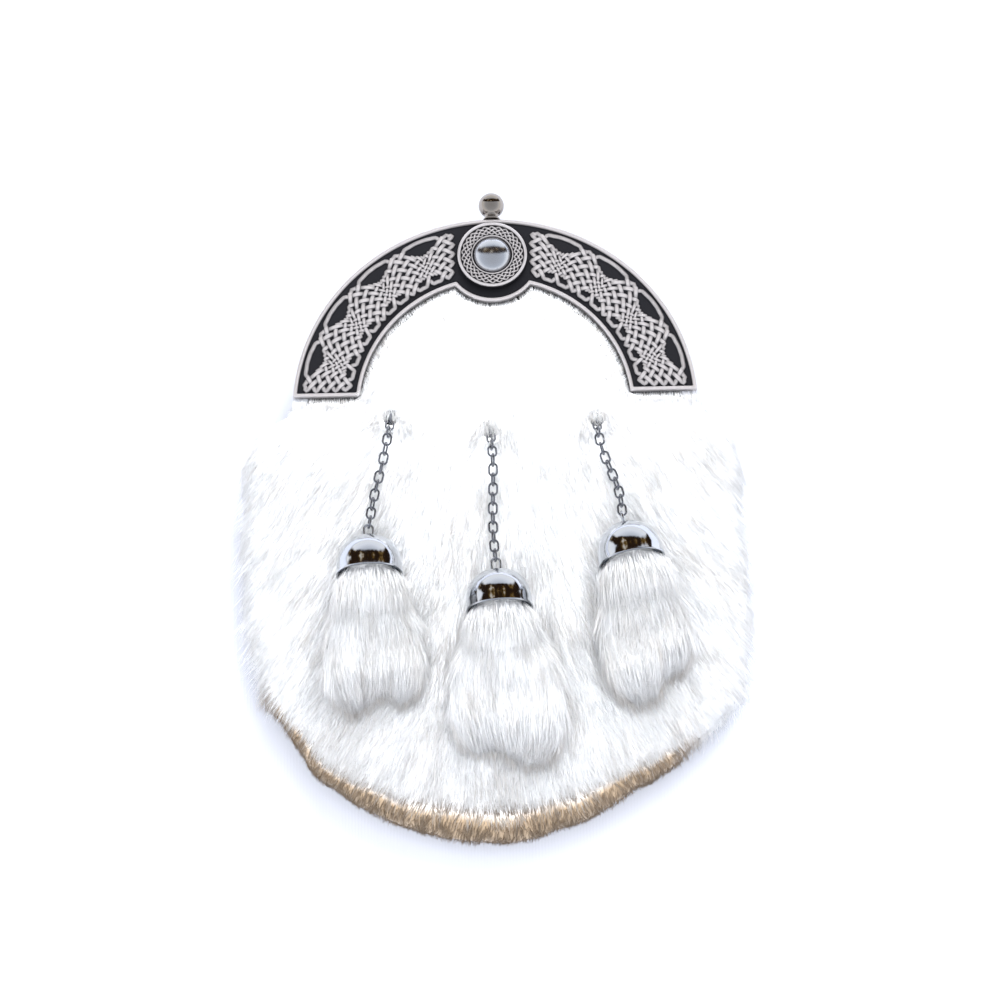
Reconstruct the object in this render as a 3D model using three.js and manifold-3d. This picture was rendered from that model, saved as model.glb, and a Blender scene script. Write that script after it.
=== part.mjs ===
import * as THREE from 'three';
import { mergeVertices } from 'three/addons/utils/BufferGeometryUtils.js';
import Module from 'manifold-3d';

// Full dress sporran lying on its back, in millimetres. +X is the wearer's left, +Y is up
// towards the metal frame, +Z is the front. The middle of the frame's lower chord is x = 0, y = 0.

const wasm = await Module();
wasm.setup();

const LEATHER = 2;            // hide and back panel thickness
const SOFT_LEATHER = 1.8;     // flap and belt loops
const GAP = 0.3;              // air between pieces that touch
const SEAT_Z = 35.7;          // hide height at the chord, under the frame
const TILT = THREE.MathUtils.degToRad(8);   // the frame dips towards its top
const FALL = Math.tan(TILT);
const MIDDLE = { x: 0, y: -55 };            // middle of the pouch front
const ARC = { y: -4.84, outer: 75.2, inner: 50.5, hide: 70 };
const BOSS = { y: 55.2, r: 13.25, bulge: 18.3 };
const PLATE = { floor: 1.7, knot: 2.7, rim: 3.2, rimWide: 1.9 };
const BALL = { r: 4.9, y: 76.7, neck: 2.6 };
const LINK = { long: 5.4, wide: 3.7, wire: 0.72, sides: 10, wireSides: 5 };
const BELL = { high: 15, wall: 1, sides: 12 };
const STAPLE = { foot: 2.3, thick: 1, room: 3.2 };
const HIDE_SIDES = 32;
const COAT_SIDES = 48;
const HEM = { out: 2.6, dip: 2.2, tuft: 0.7 };   // pointed locks round the edge of the coat

// Outline of the hide below the frame, clockwise seen from the back: place and coat depth outside it.
const HIDE_EDGE = [
  { x: 73.5, y: -3.0, coat: 3.0 },
  { x: 79.0, y: -8.0, coat: 6.0 },
  { x: 83.0, y: -17.0, coat: 8.0 },
  { x: 84.0, y: -33.0, coat: 8.5 },
  { x: 84.8, y: -65.0, coat: 9.2 },
  { x: 84.0, y: -98.0, coat: 9.3 },
  { x: 78.5, y: -115.0, coat: 9.5 },
  { x: 64.0, y: -124.0, coat: 9.5 },
  { x: 46.0, y: -134.0, coat: 9.5 },
  { x: 24.0, y: -145.0, coat: 9.5 },
  { x: -2.0, y: -150.5, coat: 9.5 },
  { x: -27.0, y: -147.0, coat: 9.5 },
  { x: -47.0, y: -140.0, coat: 9.5 },
  { x: -59.0, y: -133.0, coat: 9.5 },
  { x: -69.0, y: -121.0, coat: 9.5 },
  { x: -80.5, y: -103.0, coat: 9.3 },
  { x: -84.5, y: -90.0, coat: 9.5 },
  { x: -87.0, y: -65.0, coat: 9.7 },
  { x: -86.5, y: -32.0, coat: 9.3 },
  { x: -85.0, y: -17.0, coat: 9.0 },
  { x: -79.5, y: -8.0, coat: 6.5 },
  { x: -73.5, y: -3.0, coat: 3.0 },
];

// Front of the hide along the body: crown height, fall to the edge, depth of the coat over it.
const FRONT = [
  { y: 90, crown: SEAT_Z - 90 * FALL, fall: 0, coat: 4.6 },
  { y: 0, crown: SEAT_Z, fall: 0, coat: 4.8 },
  { y: -14, crown: 35.6, fall: 5, coat: 6.6 },
  { y: -32, crown: 35.3, fall: 10, coat: 7.6 },
  { y: -62, crown: 34.6, fall: 12, coat: 8.0 },
  { y: -100, crown: 32.4, fall: 11, coat: 8.2 },
  { y: -130, crown: 28.6, fall: 8, coat: 8.2 },
  { y: -165, crown: 22.0, fall: 3, coat: 8.0 },
];

// Chains: where each leaves the hide, where its bell begins, where its tassel ends, links between.
const CHAINS = [
  { side: 'left', root: [-38.8, -8.0], bell: [-47.0, -54.0], tip: [-45.0, -123.0], links: 12 },
  { side: 'centre', root: [-2.1, -13.6], bell: [-0.8, -67.5], tip: [4.0, -145.5], links: 14 },
  { side: 'right', root: [37.5, -10.0], bell: [45.8, -51.2], tip: [58.5, -125.5], links: 11 },
];

// Tassel lobes: start and end across the tassel, end along it, half width, half thickness.
const LOBES = {
  left: [
    { from: -3, to: -10.0, end: 0.94, wide: 12.6, thick: 8.8 },
    { from: 2, to: 8.5, end: 1.0, wide: 13.4, thick: 9.4 },
  ],
  centre: [
    { from: -2, to: -8.0, end: 1.0, wide: 16.8, thick: 9.8 },
    { from: 2, to: 10.5, end: 0.9, wide: 15.0, thick: 9.2 },
  ],
  right: [
    { from: -1, to: -7.5, end: 0.84, wide: 13.0, thick: 8.8 },
    { from: 2, to: 5.5, end: 1.0, wide: 14.5, thick: 9.4 },
  ],
};

const COLOUR = {
  fur: 0xf5f3ef, hide: 0x2a2522, panel: 0x1f1b1a, flap: 0x191615, pewter: 0x8f8d8e,
  bright: 0xc4c4c8, chrome: 0xd4d6da,
};

const part = new THREE.Group();
part.name = 'sporran_pouch';

function between(rows, y, key) {
  const last = rows.findIndex((row) => row.y <= y);
  if (last === 0) return rows[0][key];
  if (last < 0) return rows[rows.length - 1][key];
  const a = rows[last - 1];
  const b = rows[last];
  const t = (a.y - y) / (a.y - b.y);
  return a[key] + (b[key] - a[key]) * t;
}

function material(colour, roughness, metalness) {
  return new THREE.MeshStandardMaterial({ color: colour, roughness, metalness, flatShading: true });
}

function place(name, geometry, colour, roughness, metalness) {
  const mesh = new THREE.Mesh(geometry, material(colour, roughness, metalness));
  mesh.name = name;
  part.add(mesh);
  return mesh;
}

// One closed skin over a list of rings of equal count, with a point or a flat cap at each end,
// or with the last ring joined back to the first.
function skin(rings, joined = false) {
  const count = rings[0].length;
  const points = rings.flat();
  const faces = [];
  const strips = joined ? rings.length : rings.length - 1;
  for (let r = 0; r < strips; r += 1) {
    const a = r * count;
    const b = ((r + 1) % rings.length) * count;
    for (let i = 0; i < count; i += 1) {
      const j = (i + 1) % count;
      if (rings[r].back) faces.push([a + i, a + j, b + i], [a + j, b + j, b + i]);
      else faces.push([a + i, a + j, b + j], [a + i, b + j, b + i]);
    }
  }
  if (!joined) {
    for (let i = 1; i < count - 1; i += 1) {
      faces.push([0, i + 1, i]);
      const e = (rings.length - 1) * count;
      faces.push([e, e + i, e + i + 1]);
    }
  }
  const geometry = new THREE.BufferGeometry();
  geometry.setAttribute('position', new THREE.Float32BufferAttribute(points.flat(), 3));
  geometry.setIndex(faces.filter((f) => distinct(points, f)).flat());
  return outward(mergeVertices(geometry, 1e-4));
}

// The rings in the other order, their quads still split the same way as on the way out.
function backwards(rings) {
  return rings.reverse().map((points) => Object.assign(points, { back: true }));
}

function distinct(points, [a, b, c]) {
  const same = (p, q) => Math.hypot(p[0] - q[0], p[1] - q[1], p[2] - q[2]) < 1e-4;
  return !same(points[a], points[b]) && !same(points[b], points[c]) && !same(points[c], points[a]);
}

function outward(geometry) {
  const p = geometry.attributes.position;
  const index = geometry.index.array;
  const v = [0, 1, 2].map(() => new THREE.Vector3());
  let volume = 0;
  for (let i = 0; i < index.length; i += 3) {
    v.forEach((corner, k) => corner.fromBufferAttribute(p, index[i + k]));
    volume += v[0].dot(v[1].clone().cross(v[2]));
  }
  if (volume < 0) {
    for (let i = 0; i < index.length; i += 3) {
      [index[i + 1], index[i + 2]] = [index[i + 2], index[i + 1]];
    }
  }
  return geometry;
}

function solid(geometry) {
  const bare = geometry.clone();
  bare.deleteAttribute('normal');
  bare.deleteAttribute('uv');
  const welded = mergeVertices(bare, 1e-4);
  return new wasm.Manifold(new wasm.Mesh({
    numProp: 3,
    vertProperties: new Float32Array(welded.attributes.position.array),
    triVerts: new Uint32Array(welded.index.array),
  }));
}

function surface(body) {
  const mesh = body.getMesh();
  const geometry = new THREE.BufferGeometry();
  geometry.setAttribute('position', new THREE.Float32BufferAttribute(mesh.vertProperties, 3));
  geometry.setIndex(Array.from(mesh.triVerts));
  return geometry;
}

// Hide outline: the arc under the frame, then the lower edge; every point knows its outward way.
function hideOutline(sides) {
  const arcPoints = Math.round(sides * 0.36);
  const points = [];
  for (let k = 0; k < arcPoints; k += 1) {
    const a = THREE.MathUtils.degToRad(176 - (172 * k) / (arcPoints - 1));
    const y = (ARC.y + ARC.hide * Math.sin(a)) * Math.cos(TILT);
    points.push({ x: ARC.hide * Math.cos(a), y, coat: 3 });
  }
  const edge = new THREE.CatmullRomCurve3(
    HIDE_EDGE.map((row) => new THREE.Vector3(row.x, row.y, row.coat)), false, 'centripetal');
  edge.getSpacedPoints(sides - arcPoints - 1).forEach((p) => {
    points.push({ x: p.x, y: p.y, coat: p.z });
  });
  return points.map((p, i) => {
    const before = points[(i + points.length - 1) % points.length];
    const after = points[(i + 1) % points.length];
    const dx = after.x - before.x;
    const dy = after.y - before.y;
    const size = Math.hypot(dx, dy);
    return { ...p, nx: -dy / size, ny: dx / size };
  });
}

const OUTLINE = hideOutline(HIDE_SIDES);
const COAT_OUTLINE = hideOutline(COAT_SIDES);
const RINGS = [0.02, 0.42, 0.76, 0.95];

function frontZ(f, y) {
  return between(FRONT, y, 'crown') - between(FRONT, y, 'fall') * f ** 2.6;
}

function shoulderZ(y) {
  return frontZ(1, y) - 2.5 * Math.min(1, Math.max(0, -y / 20));
}

function coatZ(f, y) {
  return frontZ(f, y) + between(FRONT, y, 'coat') * (1 - 0.3 * f ** 4);
}

function ring(out, f, height, clear = 0) {
  return OUTLINE.map((p) => {
    const x = MIDDLE.x + (p.x + p.nx * out - MIDDLE.x) * f;
    const y = MIDDLE.y + (p.y + p.ny * out - MIDDLE.y) * f;
    return [x + p.nx * clear, y + p.ny * clear, height(f, y)];
  });
}

// A ring of the coat: every second point is the tip of a lock, `out` further and `dip` lower.
function coatRing(f, height, shrink = 0, out = 0, dip = 0) {
  return COAT_OUTLINE.map((p, k) => {
    const tip = p.y < -14 && k % 2 === 1 ? 1 : 0;
    const grow = p.coat - shrink + out * tip;
    const x = MIDDLE.x + (p.x + p.nx * grow - MIDDLE.x) * f;
    const y = MIDDLE.y + (p.y + p.ny * grow - MIDDLE.y) * f;
    return [x, y, height(f, y) - dip * tip];
  });
}

// How far out a place lies between the middle and the outline of the hide, or of its coat.
function fractionAt(x, y, coated) {
  const dx = x - MIDDLE.x;
  const dy = y - MIDDLE.y;
  let best = 0;
  OUTLINE.forEach((p, i) => {
    const q = OUTLINE[(i + 1) % OUTLINE.length];
    const ax = p.x + p.nx * p.coat * coated - MIDDLE.x;
    const ay = p.y + p.ny * p.coat * coated - MIDDLE.y;
    const bx = q.x + q.nx * q.coat * coated - MIDDLE.x - ax;
    const by = q.y + q.ny * q.coat * coated - MIDDLE.y - ay;
    const cross = dx * by - dy * bx;
    const s = (ax * by - ay * bx) / cross;
    const t = (ax * dy - ay * dx) / cross;
    if (s > 0 && t >= -0.001 && t <= 1.001) best = 1 / s;
  });
  return Math.min(best, 1);
}

function coatAt(x, y) {
  return coatZ(fractionAt(x, y, 1), y);
}

function hideAt(x, y) {
  return frontZ(fractionAt(x, y, 0), y);
}

// Hide: hollow leather front and sides, open at the back, flat where the frame sits.
const hideRings = [
  ...RINGS.map((f) => ring(0, f, frontZ)),
  ring(0, 1, (f, y) => shoulderZ(y)),
  ring(0, 1, () => 0),
  ...backwards([
    ...RINGS.filter((f) => f !== 0.42).map((f) => ring(-LEATHER, f, (g, y) => frontZ(g, y) - LEATHER)),
    ring(-LEATHER, 1, (f, y) => shoulderZ(y) - LEATHER),
    ring(-LEATHER, 1, () => 0),
  ]),
];
place('hide_shell', skin(hideRings), COLOUR.hide, 0.75, 0);

// Back panel: leather sheet inside the side walls with the mouth cut through it.
const panelShape = new THREE.Shape(OUTLINE.map((p) => new THREE.Vector2(
  p.x - p.nx * (LEATHER + GAP), p.y - p.ny * (LEATHER + GAP))));
const MOUTH = { wide: 96, y: 12, high: 12, round: 5 };
function roundedPath(shape, x, y, wide, high, round) {
  const steps = 3;
  const corners = [
    [x + wide - round, y + round, -90], [x + wide - round, y + high - round, 0],
    [x + round, y + high - round, 90], [x + round, y + round, 180],
  ];
  const points = [];
  corners.forEach(([cx, cy, start]) => {
    for (let k = 0; k <= steps; k += 1) {
      const a = THREE.MathUtils.degToRad(start + (90 * k) / steps);
      points.push(new THREE.Vector2(cx + round * Math.cos(a), cy + round * Math.sin(a)));
    }
  });
  shape.setFromPoints(points);
  return shape;
}
panelShape.holes.push(roundedPath(
  new THREE.Path(), -MOUTH.wide / 2, MOUTH.y, MOUTH.wide, MOUTH.high, MOUTH.round));
const panel = new THREE.ExtrudeGeometry(panelShape, { depth: LEATHER, bevelEnabled: false });
panel.translate(0, 0, SOFT_LEATHER + GAP);
place('back_panel', panel, COLOUR.panel, 0.8, 0);

// Flap over the mouth and the two belt loops, pressed flat against the floor.
function softLeather(name, x, y, wide, high, round) {
  const shape = roundedPath(new THREE.Shape(), x, y, wide, high, round);
  const sheet = new THREE.ExtrudeGeometry(shape, { depth: SOFT_LEATHER, bevelEnabled: false });
  place(name, sheet, COLOUR.flap, 0.7, 0);
}
softLeather('back_flap', -54, -46, 108, 78, 16);
softLeather('belt_loop_left', -78, -66, 20, 52, 3);
softLeather('belt_loop_right', 58, -66, 20, 52, 3);

// Frame: a half round of cast metal with a raised rim and two mirrored panels of interlace.
function frameOutline(inset) {
  const outer = ARC.outer - inset;
  const inner = ARC.inner + inset;
  const bulge = BOSS.bulge - inset;
  const low = inset;
  const points = [];
  const start = Math.asin((low - ARC.y) / outer);
  for (let k = 0; k <= 24; k += 1) {
    const a = start + ((Math.PI - 2 * start) * k) / 24;
    points.push([outer * Math.cos(a), ARC.y + outer * Math.sin(a)]);
  }
  const rise = BOSS.y - ARC.y;
  const meet = Math.acos((rise ** 2 + inner ** 2 - bulge ** 2) / (2 * rise * inner));
  const foot = Math.PI - Math.asin((low - ARC.y) / inner);
  for (let k = 0; k <= 9; k += 1) {
    const a = foot + ((Math.PI / 2 + meet - foot) * k) / 9;
    points.push([inner * Math.cos(a), ARC.y + inner * Math.sin(a)]);
  }
  const last = points[points.length - 1];
  const turn = Math.atan2(last[1] - BOSS.y, last[0]);
  const sweep = -Math.PI / 2 - (turn > 0 ? turn - 2 * Math.PI : turn);
  for (let k = 1; k < 8; k += 1) {
    const a = turn + (2 * sweep * k) / 8;
    points.push([bulge * Math.cos(a), BOSS.y + bulge * Math.sin(a)]);
  }
  for (let k = 9; k >= 0; k -= 1) {
    const a = foot + ((Math.PI / 2 + meet - foot) * k) / 9;
    points.push([-inner * Math.cos(a), ARC.y + inner * Math.sin(a)]);
  }
  return points.map(([x, y]) => new THREE.Vector2(x, y));
}

function plate(shape, from, to) {
  const geometry = new THREE.ExtrudeGeometry(shape, { depth: to - from, bevelEnabled: false });
  geometry.translate(0, 0, from);
  return geometry;
}

// Knot panel: a net of strands with lozenge gaps, pointed along the inner edge,
// drawn out into long low arches along the outer edge.
const KNOT = { along: 14, across: 6, low: 8.2, beside: 15.6, inner: 54.4, outer: 71.6, gap: 0.42 };
function knotPoint(i, j, side) {
  const r = KNOT.inner + ((KNOT.outer - KNOT.inner) * j) / KNOT.across;
  const a0 = Math.asin((KNOT.low - ARC.y - 4.84) / r);
  const a1 = Math.acos(KNOT.beside / r);
  const a = a0 + ((a1 - a0) * i) / KNOT.along;
  return new THREE.Vector2(side * r * Math.cos(a), ARC.y + r * Math.sin(a));
}
function knotShape(side) {
  const { along, across } = KNOT;
  const edge = [];
  for (let i = 0; i <= along; i += 1) edge.push([i, i % 2 ? -0.25 : 0.45]);
  for (let j = 1; j < across; j += 1) edge.push([along + (j % 2 ? 0.25 : -0.45), j]);
  for (let i = along; i >= 0; i -= 1) edge.push([i, across + (i % 5 === 2 ? -0.55 : 0.1)]);
  for (let j = across - 1; j > 0; j -= 1) edge.push([j % 2 ? -0.25 : 0.3, j]);
  const shape = new THREE.Shape(edge.map(([i, j]) => knotPoint(i, j, side)));
  for (let i = 1; i < along; i += 1) {
    for (let j = 1; j < across; j += 1) {
      if ((i + j) % 2 === 0) {
        const g = KNOT.gap;
        const corners = [[i - g, j], [i, j + g], [i + g, j], [i, j - g]];
        const hole = new THREE.Path();
        hole.setFromPoints(corners.map(([u, v]) => knotPoint(u, v, side)));
        shape.holes.push(hole);
      }
    }
  }
  return shape;
}

const frameShape = new THREE.Shape(frameOutline(0));
const pocketShape = new THREE.Shape(frameOutline(PLATE.rimWide));
const seat = new THREE.Shape();
seat.absarc(0, BOSS.y, BOSS.r + 0.6, 0, 2 * Math.PI);
const frameBody = solid(plate(frameShape, 0, PLATE.rim))
  .subtract(solid(plate(pocketShape, PLATE.floor, PLATE.rim + 1)))
  .add(solid(plate(knotShape(1), PLATE.floor - 0.5, PLATE.knot)))
  .add(solid(plate(knotShape(-1), PLATE.floor - 0.5, PLATE.knot)))
  .add(solid(new THREE.ExtrudeGeometry(seat, { depth: 2.4, bevelEnabled: false, curveSegments: 12 })));

const lay = new THREE.Matrix4().makeRotationX(-TILT);
lay.setPosition(0, 0, SEAT_Z + GAP);
const laid = (geometry) => geometry.applyMatrix4(lay);
place('cantle', laid(surface(frameBody)), COLOUR.pewter, 0.38, 0.9);

// Boss: a ring with a bright rim and a beaded plait, and a polished dome in its middle.
function turned(rows, sides) {
  const rings = rows.map(([r, z]) => Array.from({ length: sides }, (unused, k) => {
    const a = (2 * Math.PI * k) / sides;
    return [r * Math.cos(a), r * Math.sin(a), z];
  }));
  return rings;
}
const ringRows = turned([
  [7.5, 0], [13.25, 0], [13.25, 1.9], [12.6, 2.5], [11.9, 1.6], [9.8, 2.3], [8.1, 1.6], [7.5, 1.6],
], 16);
ringRows[5] = ringRows[5].map(([x, y, z], k) => [x, y, z - (k % 2 ? 0.6 : 0)]);
const bossRing = skin(ringRows, true);
bossRing.translate(0, BOSS.y, 2.4 + GAP);
place('boss_ring', laid(bossRing), COLOUR.pewter, 0.3, 0.9);

const domeRows = turned([
  [0, 0], [7.1, 0], [7.1, 1.4], [6.4, 2.8], [4.9, 4.1], [2.7, 4.9], [0, 5.2],
], 16);
const bossDome = skin(domeRows);
bossDome.translate(0, BOSS.y, 2.4 + GAP);
place('boss_dome', laid(bossDome), COLOUR.bright, 0.12, 1);

// Ball on a short neck above the middle of the frame.
const ballRows = [[0, ARC.outer + ARC.y + GAP], [BALL.neck, ARC.outer + ARC.y + GAP]];
for (let k = 2; k <= 9; k += 1) {
  const a = THREE.MathUtils.degToRad(-90 + (180 * k) / 9 + (k === 2 ? -7 : 0));
  ballRows.push([k === 9 ? 0 : BALL.r * Math.cos(a), BALL.y + BALL.r * Math.sin(a)]);
}
const ball = skin(turned(ballRows, 12));
ball.rotateX(-Math.PI / 2);
ball.translate(0, 0, PLATE.rim / 2);
place('ball_finial', laid(ball), COLOUR.chrome, 0.1, 1);

// A ring of wire: straight sides, round ends, standing in the plane of `along` and `across`.
function wireRing(centre, along, across, long, wide, wire) {
  const up = new THREE.Vector3().crossVectors(along, across).normalize();
  const r = (wide - wire) / 2;
  const straight = (long - wide) / 2;
  const rings = [];
  for (let k = 0; k < LINK.sides; k += 1) {
    const a = (2 * Math.PI * k) / LINK.sides;
    const c = Math.cos(a);
    const s = Math.sin(a);
    const out = new THREE.Vector3().addScaledVector(along, c).addScaledVector(across, s);
    const mid = centre.clone().addScaledVector(out, r)
      .addScaledVector(along, Math.abs(c) < 0.2 ? 0 : straight * Math.sign(c));
    const section = [];
    for (let m = 0; m < LINK.wireSides; m += 1) {
      const b = (2 * Math.PI * m) / LINK.wireSides;
      const p = mid.clone().addScaledVector(out, (wire / 2) * Math.cos(b))
        .addScaledVector(up, (wire / 2) * Math.sin(b));
      section.push([p.x, p.y, p.z]);
    }
    rings.push(section);
  }
  return skin(rings, true);
}

// Bell: a spun metal dome, open below; s runs from its top along its axis.
const BELL_ROWS = [
  { s: 0.0, r: 0 }, { s: 0.5, r: 4.6 }, { s: 2.6, r: 8.6 }, { s: 6.2, r: 11.2 },
  { s: 15.0, r: 12.2 },
];
function aim(from, to) {
  const axis = to.clone().sub(from).normalize();
  const across = new THREE.Vector3(axis.y, -axis.x, 0).normalize();
  const up = new THREE.Vector3().crossVectors(across, axis).normalize();
  return { axis, across, up: up.z > 0 ? up : up.negate() };
}
function around(origin, way, rows, sides) {
  return rows.map(({ s, r }) => Array.from({ length: sides }, (unused, k) => {
    const a = (2 * Math.PI * k) / sides;
    const p = origin.clone().addScaledVector(way.axis, s)
      .addScaledVector(way.across, r * Math.cos(a)).addScaledVector(way.up, r * Math.sin(a));
    return [p.x, p.y, p.z];
  }));
}

const hollows = [];
const tasselClear = [];
CHAINS.forEach((chain) => {
  const [rx, ry] = chain.root;
  const [bx, by] = chain.bell;
  const [tx, ty] = chain.tip;
  const apex = new THREE.Vector3(bx, by, coatAt(bx, by) + 7.4);
  const reach = Math.hypot(tx - bx, ty - by);
  const mouthXY = [bx + ((tx - bx) * 15) / reach, by + ((ty - by) * 15) / reach];
  const mouth = new THREE.Vector3(mouthXY[0], mouthXY[1], coatAt(...mouthXY) + 11.2);
  const way = aim(apex, mouth);

  const outside = around(apex, way, BELL_ROWS, BELL.sides);
  const inner = BELL_ROWS.filter((row, k) => k !== 1).map(({ s, r }) => ({
    s: Math.min(s, BELL.high - BELL.wall),
    r: Math.max(0, r - BELL.wall),
  }));
  const inside = around(apex.clone().addScaledVector(way.axis, BELL.wall), way, inner, BELL.sides);
  const bellSkin = skin([...outside, ...inside.reverse()]);
  const eyeAt = apex.clone().addScaledVector(way.axis, -2.0);
  const eyeUp = chain.links % 2 === 1;
  const eye = wireRing(eyeAt, way.axis, eyeUp ? way.up : way.across, 5.9, 4.5, 0.9);
  place(`bell_${chain.side}`, surface(solid(bellSkin).add(solid(eye))), COLOUR.chrome, 0.1, 1);

  // The chain climbs out of its parting, lies on the coat and rises to the bell's eye.
  const start = new THREE.Vector3(rx, ry, hideAt(rx, ry) + GAP + 2.7);
  const path = new THREE.CatmullRomCurve3([0, 0.08, 0.2, 0.34, 0.5, 0.66, 0.8, 0.92, 1].map((t) => {
    const x = rx + (eyeAt.x - rx) * t + 1.2 * Math.sin(2 * Math.PI * t) * (rx > 0 ? -1 : 0.4);
    const y = ry + (eyeAt.y - ry) * t;
    const rise = Math.max(0, (t - 0.55) / 0.45) ** 1.25;
    const lift = 2.3 + (eyeAt.z - coatAt(eyeAt.x, eyeAt.y) - 2.3) * rise;
    const root = Math.max(0, 1 - t / 0.2);
    return new THREE.Vector3(x, y, (coatAt(x, y) + lift) * (1 - root) + start.z * root);
  }));
  path.arcLengthDivisions = 400;
  const knots = path.getSpacedPoints(chain.links + 1);
  knots.slice(1, -1).forEach((centre, k) => {
    const along = knots[k + 2].clone().sub(knots[k]).normalize();
    const level = new THREE.Vector3(along.y, -along.x, 0).normalize();
    const upright = new THREE.Vector3().crossVectors(level, along).normalize();
    const link = wireRing(centre, along, k % 2 ? upright : level, LINK.long, LINK.wide, LINK.wire);
    const number = String(k + 1).padStart(2, '0');
    place(`chain_${chain.side}_link_${number}`, link, COLOUR.chrome, 0.15, 1);
  });

  // Staple on the hide that holds the chain's first link.
  const away = new THREE.Vector3(knots[1].x - rx, knots[1].y - ry, 0).normalize();
  const standing = wireRing(start, away, new THREE.Vector3(0, 0, 1), 5.8, 4.4, 0.9);
  const foot = new THREE.CylinderGeometry(STAPLE.foot, STAPLE.foot, STAPLE.thick, 6);
  foot.rotateX(Math.PI / 2);
  foot.translate(rx, ry, hideAt(rx, ry) + GAP + 0.25 + STAPLE.thick / 2);
  const room = new THREE.CylinderGeometry(STAPLE.room, STAPLE.room, 8, 8);
  room.rotateX(Math.PI / 2);
  room.translate(rx, ry, hideAt(rx, ry) + 3.5);
  hollows.push(room);
  place(`staple_${chain.side}`, surface(solid(standing).add(solid(foot))), COLOUR.bright, 0.3, 1);

  // Tassel: locks of fur from a head inside the bell.
  const tip = new THREE.Vector3(tx, ty, coatAt(tx, ty) + 6.5);
  const lie = aim(mouth, tip);
  const head = around(apex, way, [
    { s: 3.2, r: 5.6 }, { s: 7.2, r: 8.9 }, { s: 11.4, r: 9.8 }, { s: 17.0, r: 10.3 }, { s: 21, r: 7.0 },
  ], 8);
  let tassel = solid(skin(head));
  const long = mouth.distanceTo(tip);
  LOBES[chain.side].forEach((lobe) => {
    const swell = [
      { t: -0.03, w: 0.26, h: 0.36 }, { t: 0.065, w: 0.66, h: 0.78 }, { t: 0.3, w: 0.95, h: 1 },
      { t: 0.7, w: 1, h: 0.9 }, { t: 0.9, w: 0.74, h: 0.62 }, { t: 1, w: 0.26, h: 0.2 },
    ];
    const rings = swell.map(({ t, w, h }) => {
      const s = t * lobe.end * long;
      const shift = lobe.from + (lobe.to - lobe.from) * Math.max(0, t) ** 0.9;
      const x = mouth.x + lie.axis.x * s + lie.across.x * shift;
      const y = mouth.y + lie.axis.y * s + lie.across.y * shift;
      const base = Math.min(coatAt(x, y), coatAt(mouth.x + lie.axis.x * s, mouth.y + lie.axis.y * s));
      const z = Math.max(base + 0.6 + lobe.thick * h, t < 0.1 ? mouth.z - 3 : 0);
      return Array.from({ length: 9 }, (unused, k) => {
        const a = (2 * Math.PI * (k + 0.25)) / 9;
        const c = Math.cos(a) * lobe.wide * w;
        return [x + lie.across.x * c, y + lie.across.y * c, z + Math.sin(a) * lobe.thick * h];
      });
    });
    tassel = tassel.add(solid(skin(rings)));
  });
  const tasselSkin = surface(tassel);
  place(`tassel_fur_${chain.side}`, tasselSkin, COLOUR.fur, 0.95, 0);
  tasselClear.push(tasselSkin.clone().translate(0, 0, -0.5));
  hollows.push(skin(around(apex.clone().addScaledVector(way.axis, -0.6), way,
    [{ s: 0, r: 3 }, { s: 3, r: 11.2 }, { s: 7, r: 13.2 }, { s: 16.5, r: 13.4 }], 9)));
  const parting = new THREE.SphereGeometry(1, 8, 5);
  parting.scale(3.6, 10.5, 6.4);
  parting.rotateX(-0.42);
  parting.rotateZ(Math.atan2(away.y, away.x) + Math.PI / 2);
  parting.translate(rx + away.x * 3, ry + away.y * 3, hideAt(rx, ry) + 6.2);
  hollows.push(parting);
});

// Coat of fur over the hide: one backing with pointed locks fused to it.
const FUR = GAP + 0.1;
const coatRings = [
  ...RINGS.slice(0, -1).map((f) => coatRing(f, coatZ)),
  coatRing(0.95, coatZ, 0, 0, -HEM.tuft),
  coatRing(1, (f, y) => coatZ(1, y) - 4.5, 0.6, HEM.out, HEM.dip),
  coatRing(1, (f, y) => 0.45 * coatZ(1, y), 1.4),
  coatRing(1, () => 0.9, 2.2),
];
const hideRoom = skin([
  ...RINGS.map((f) => ring(0, f, (g, y) => frontZ(g, y) + FUR)),
  ring(0, 1, (f, y) => shoulderZ(y) + FUR, FUR),
  ring(0, 1, () => -1, FUR),
]);
let coat = solid(skin(coatRings));

const cutPoints = frameOutline(-GAP).slice(25);
const cutShape = new THREE.Shape([
  new THREE.Vector2(130, -GAP), new THREE.Vector2(130, 110), new THREE.Vector2(-130, 110),
  new THREE.Vector2(-130, -GAP), ...cutPoints,
]);
coat = coat.subtract(solid(laid(plate(cutShape, -60, 60))));
[hideRoom, ...hollows, ...tasselClear].forEach((hollow) => {
  coat = coat.subtract(solid(hollow));
});
place('body_fur', surface(coat), COLOUR.fur, 0.95, 0);

const box = new THREE.Box3().setFromObject(part);
part.position.set(-(box.min.x + box.max.x) / 2, -(box.min.y + box.max.y) / 2, -box.min.z);
part.updateMatrixWorld(true);

export default part;
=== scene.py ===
import math

import bpy
import numpy as np
from mathutils import Matrix, Vector
from mathutils.bvhtree import BVHTree
from mathutils.kdtree import KDTree


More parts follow.
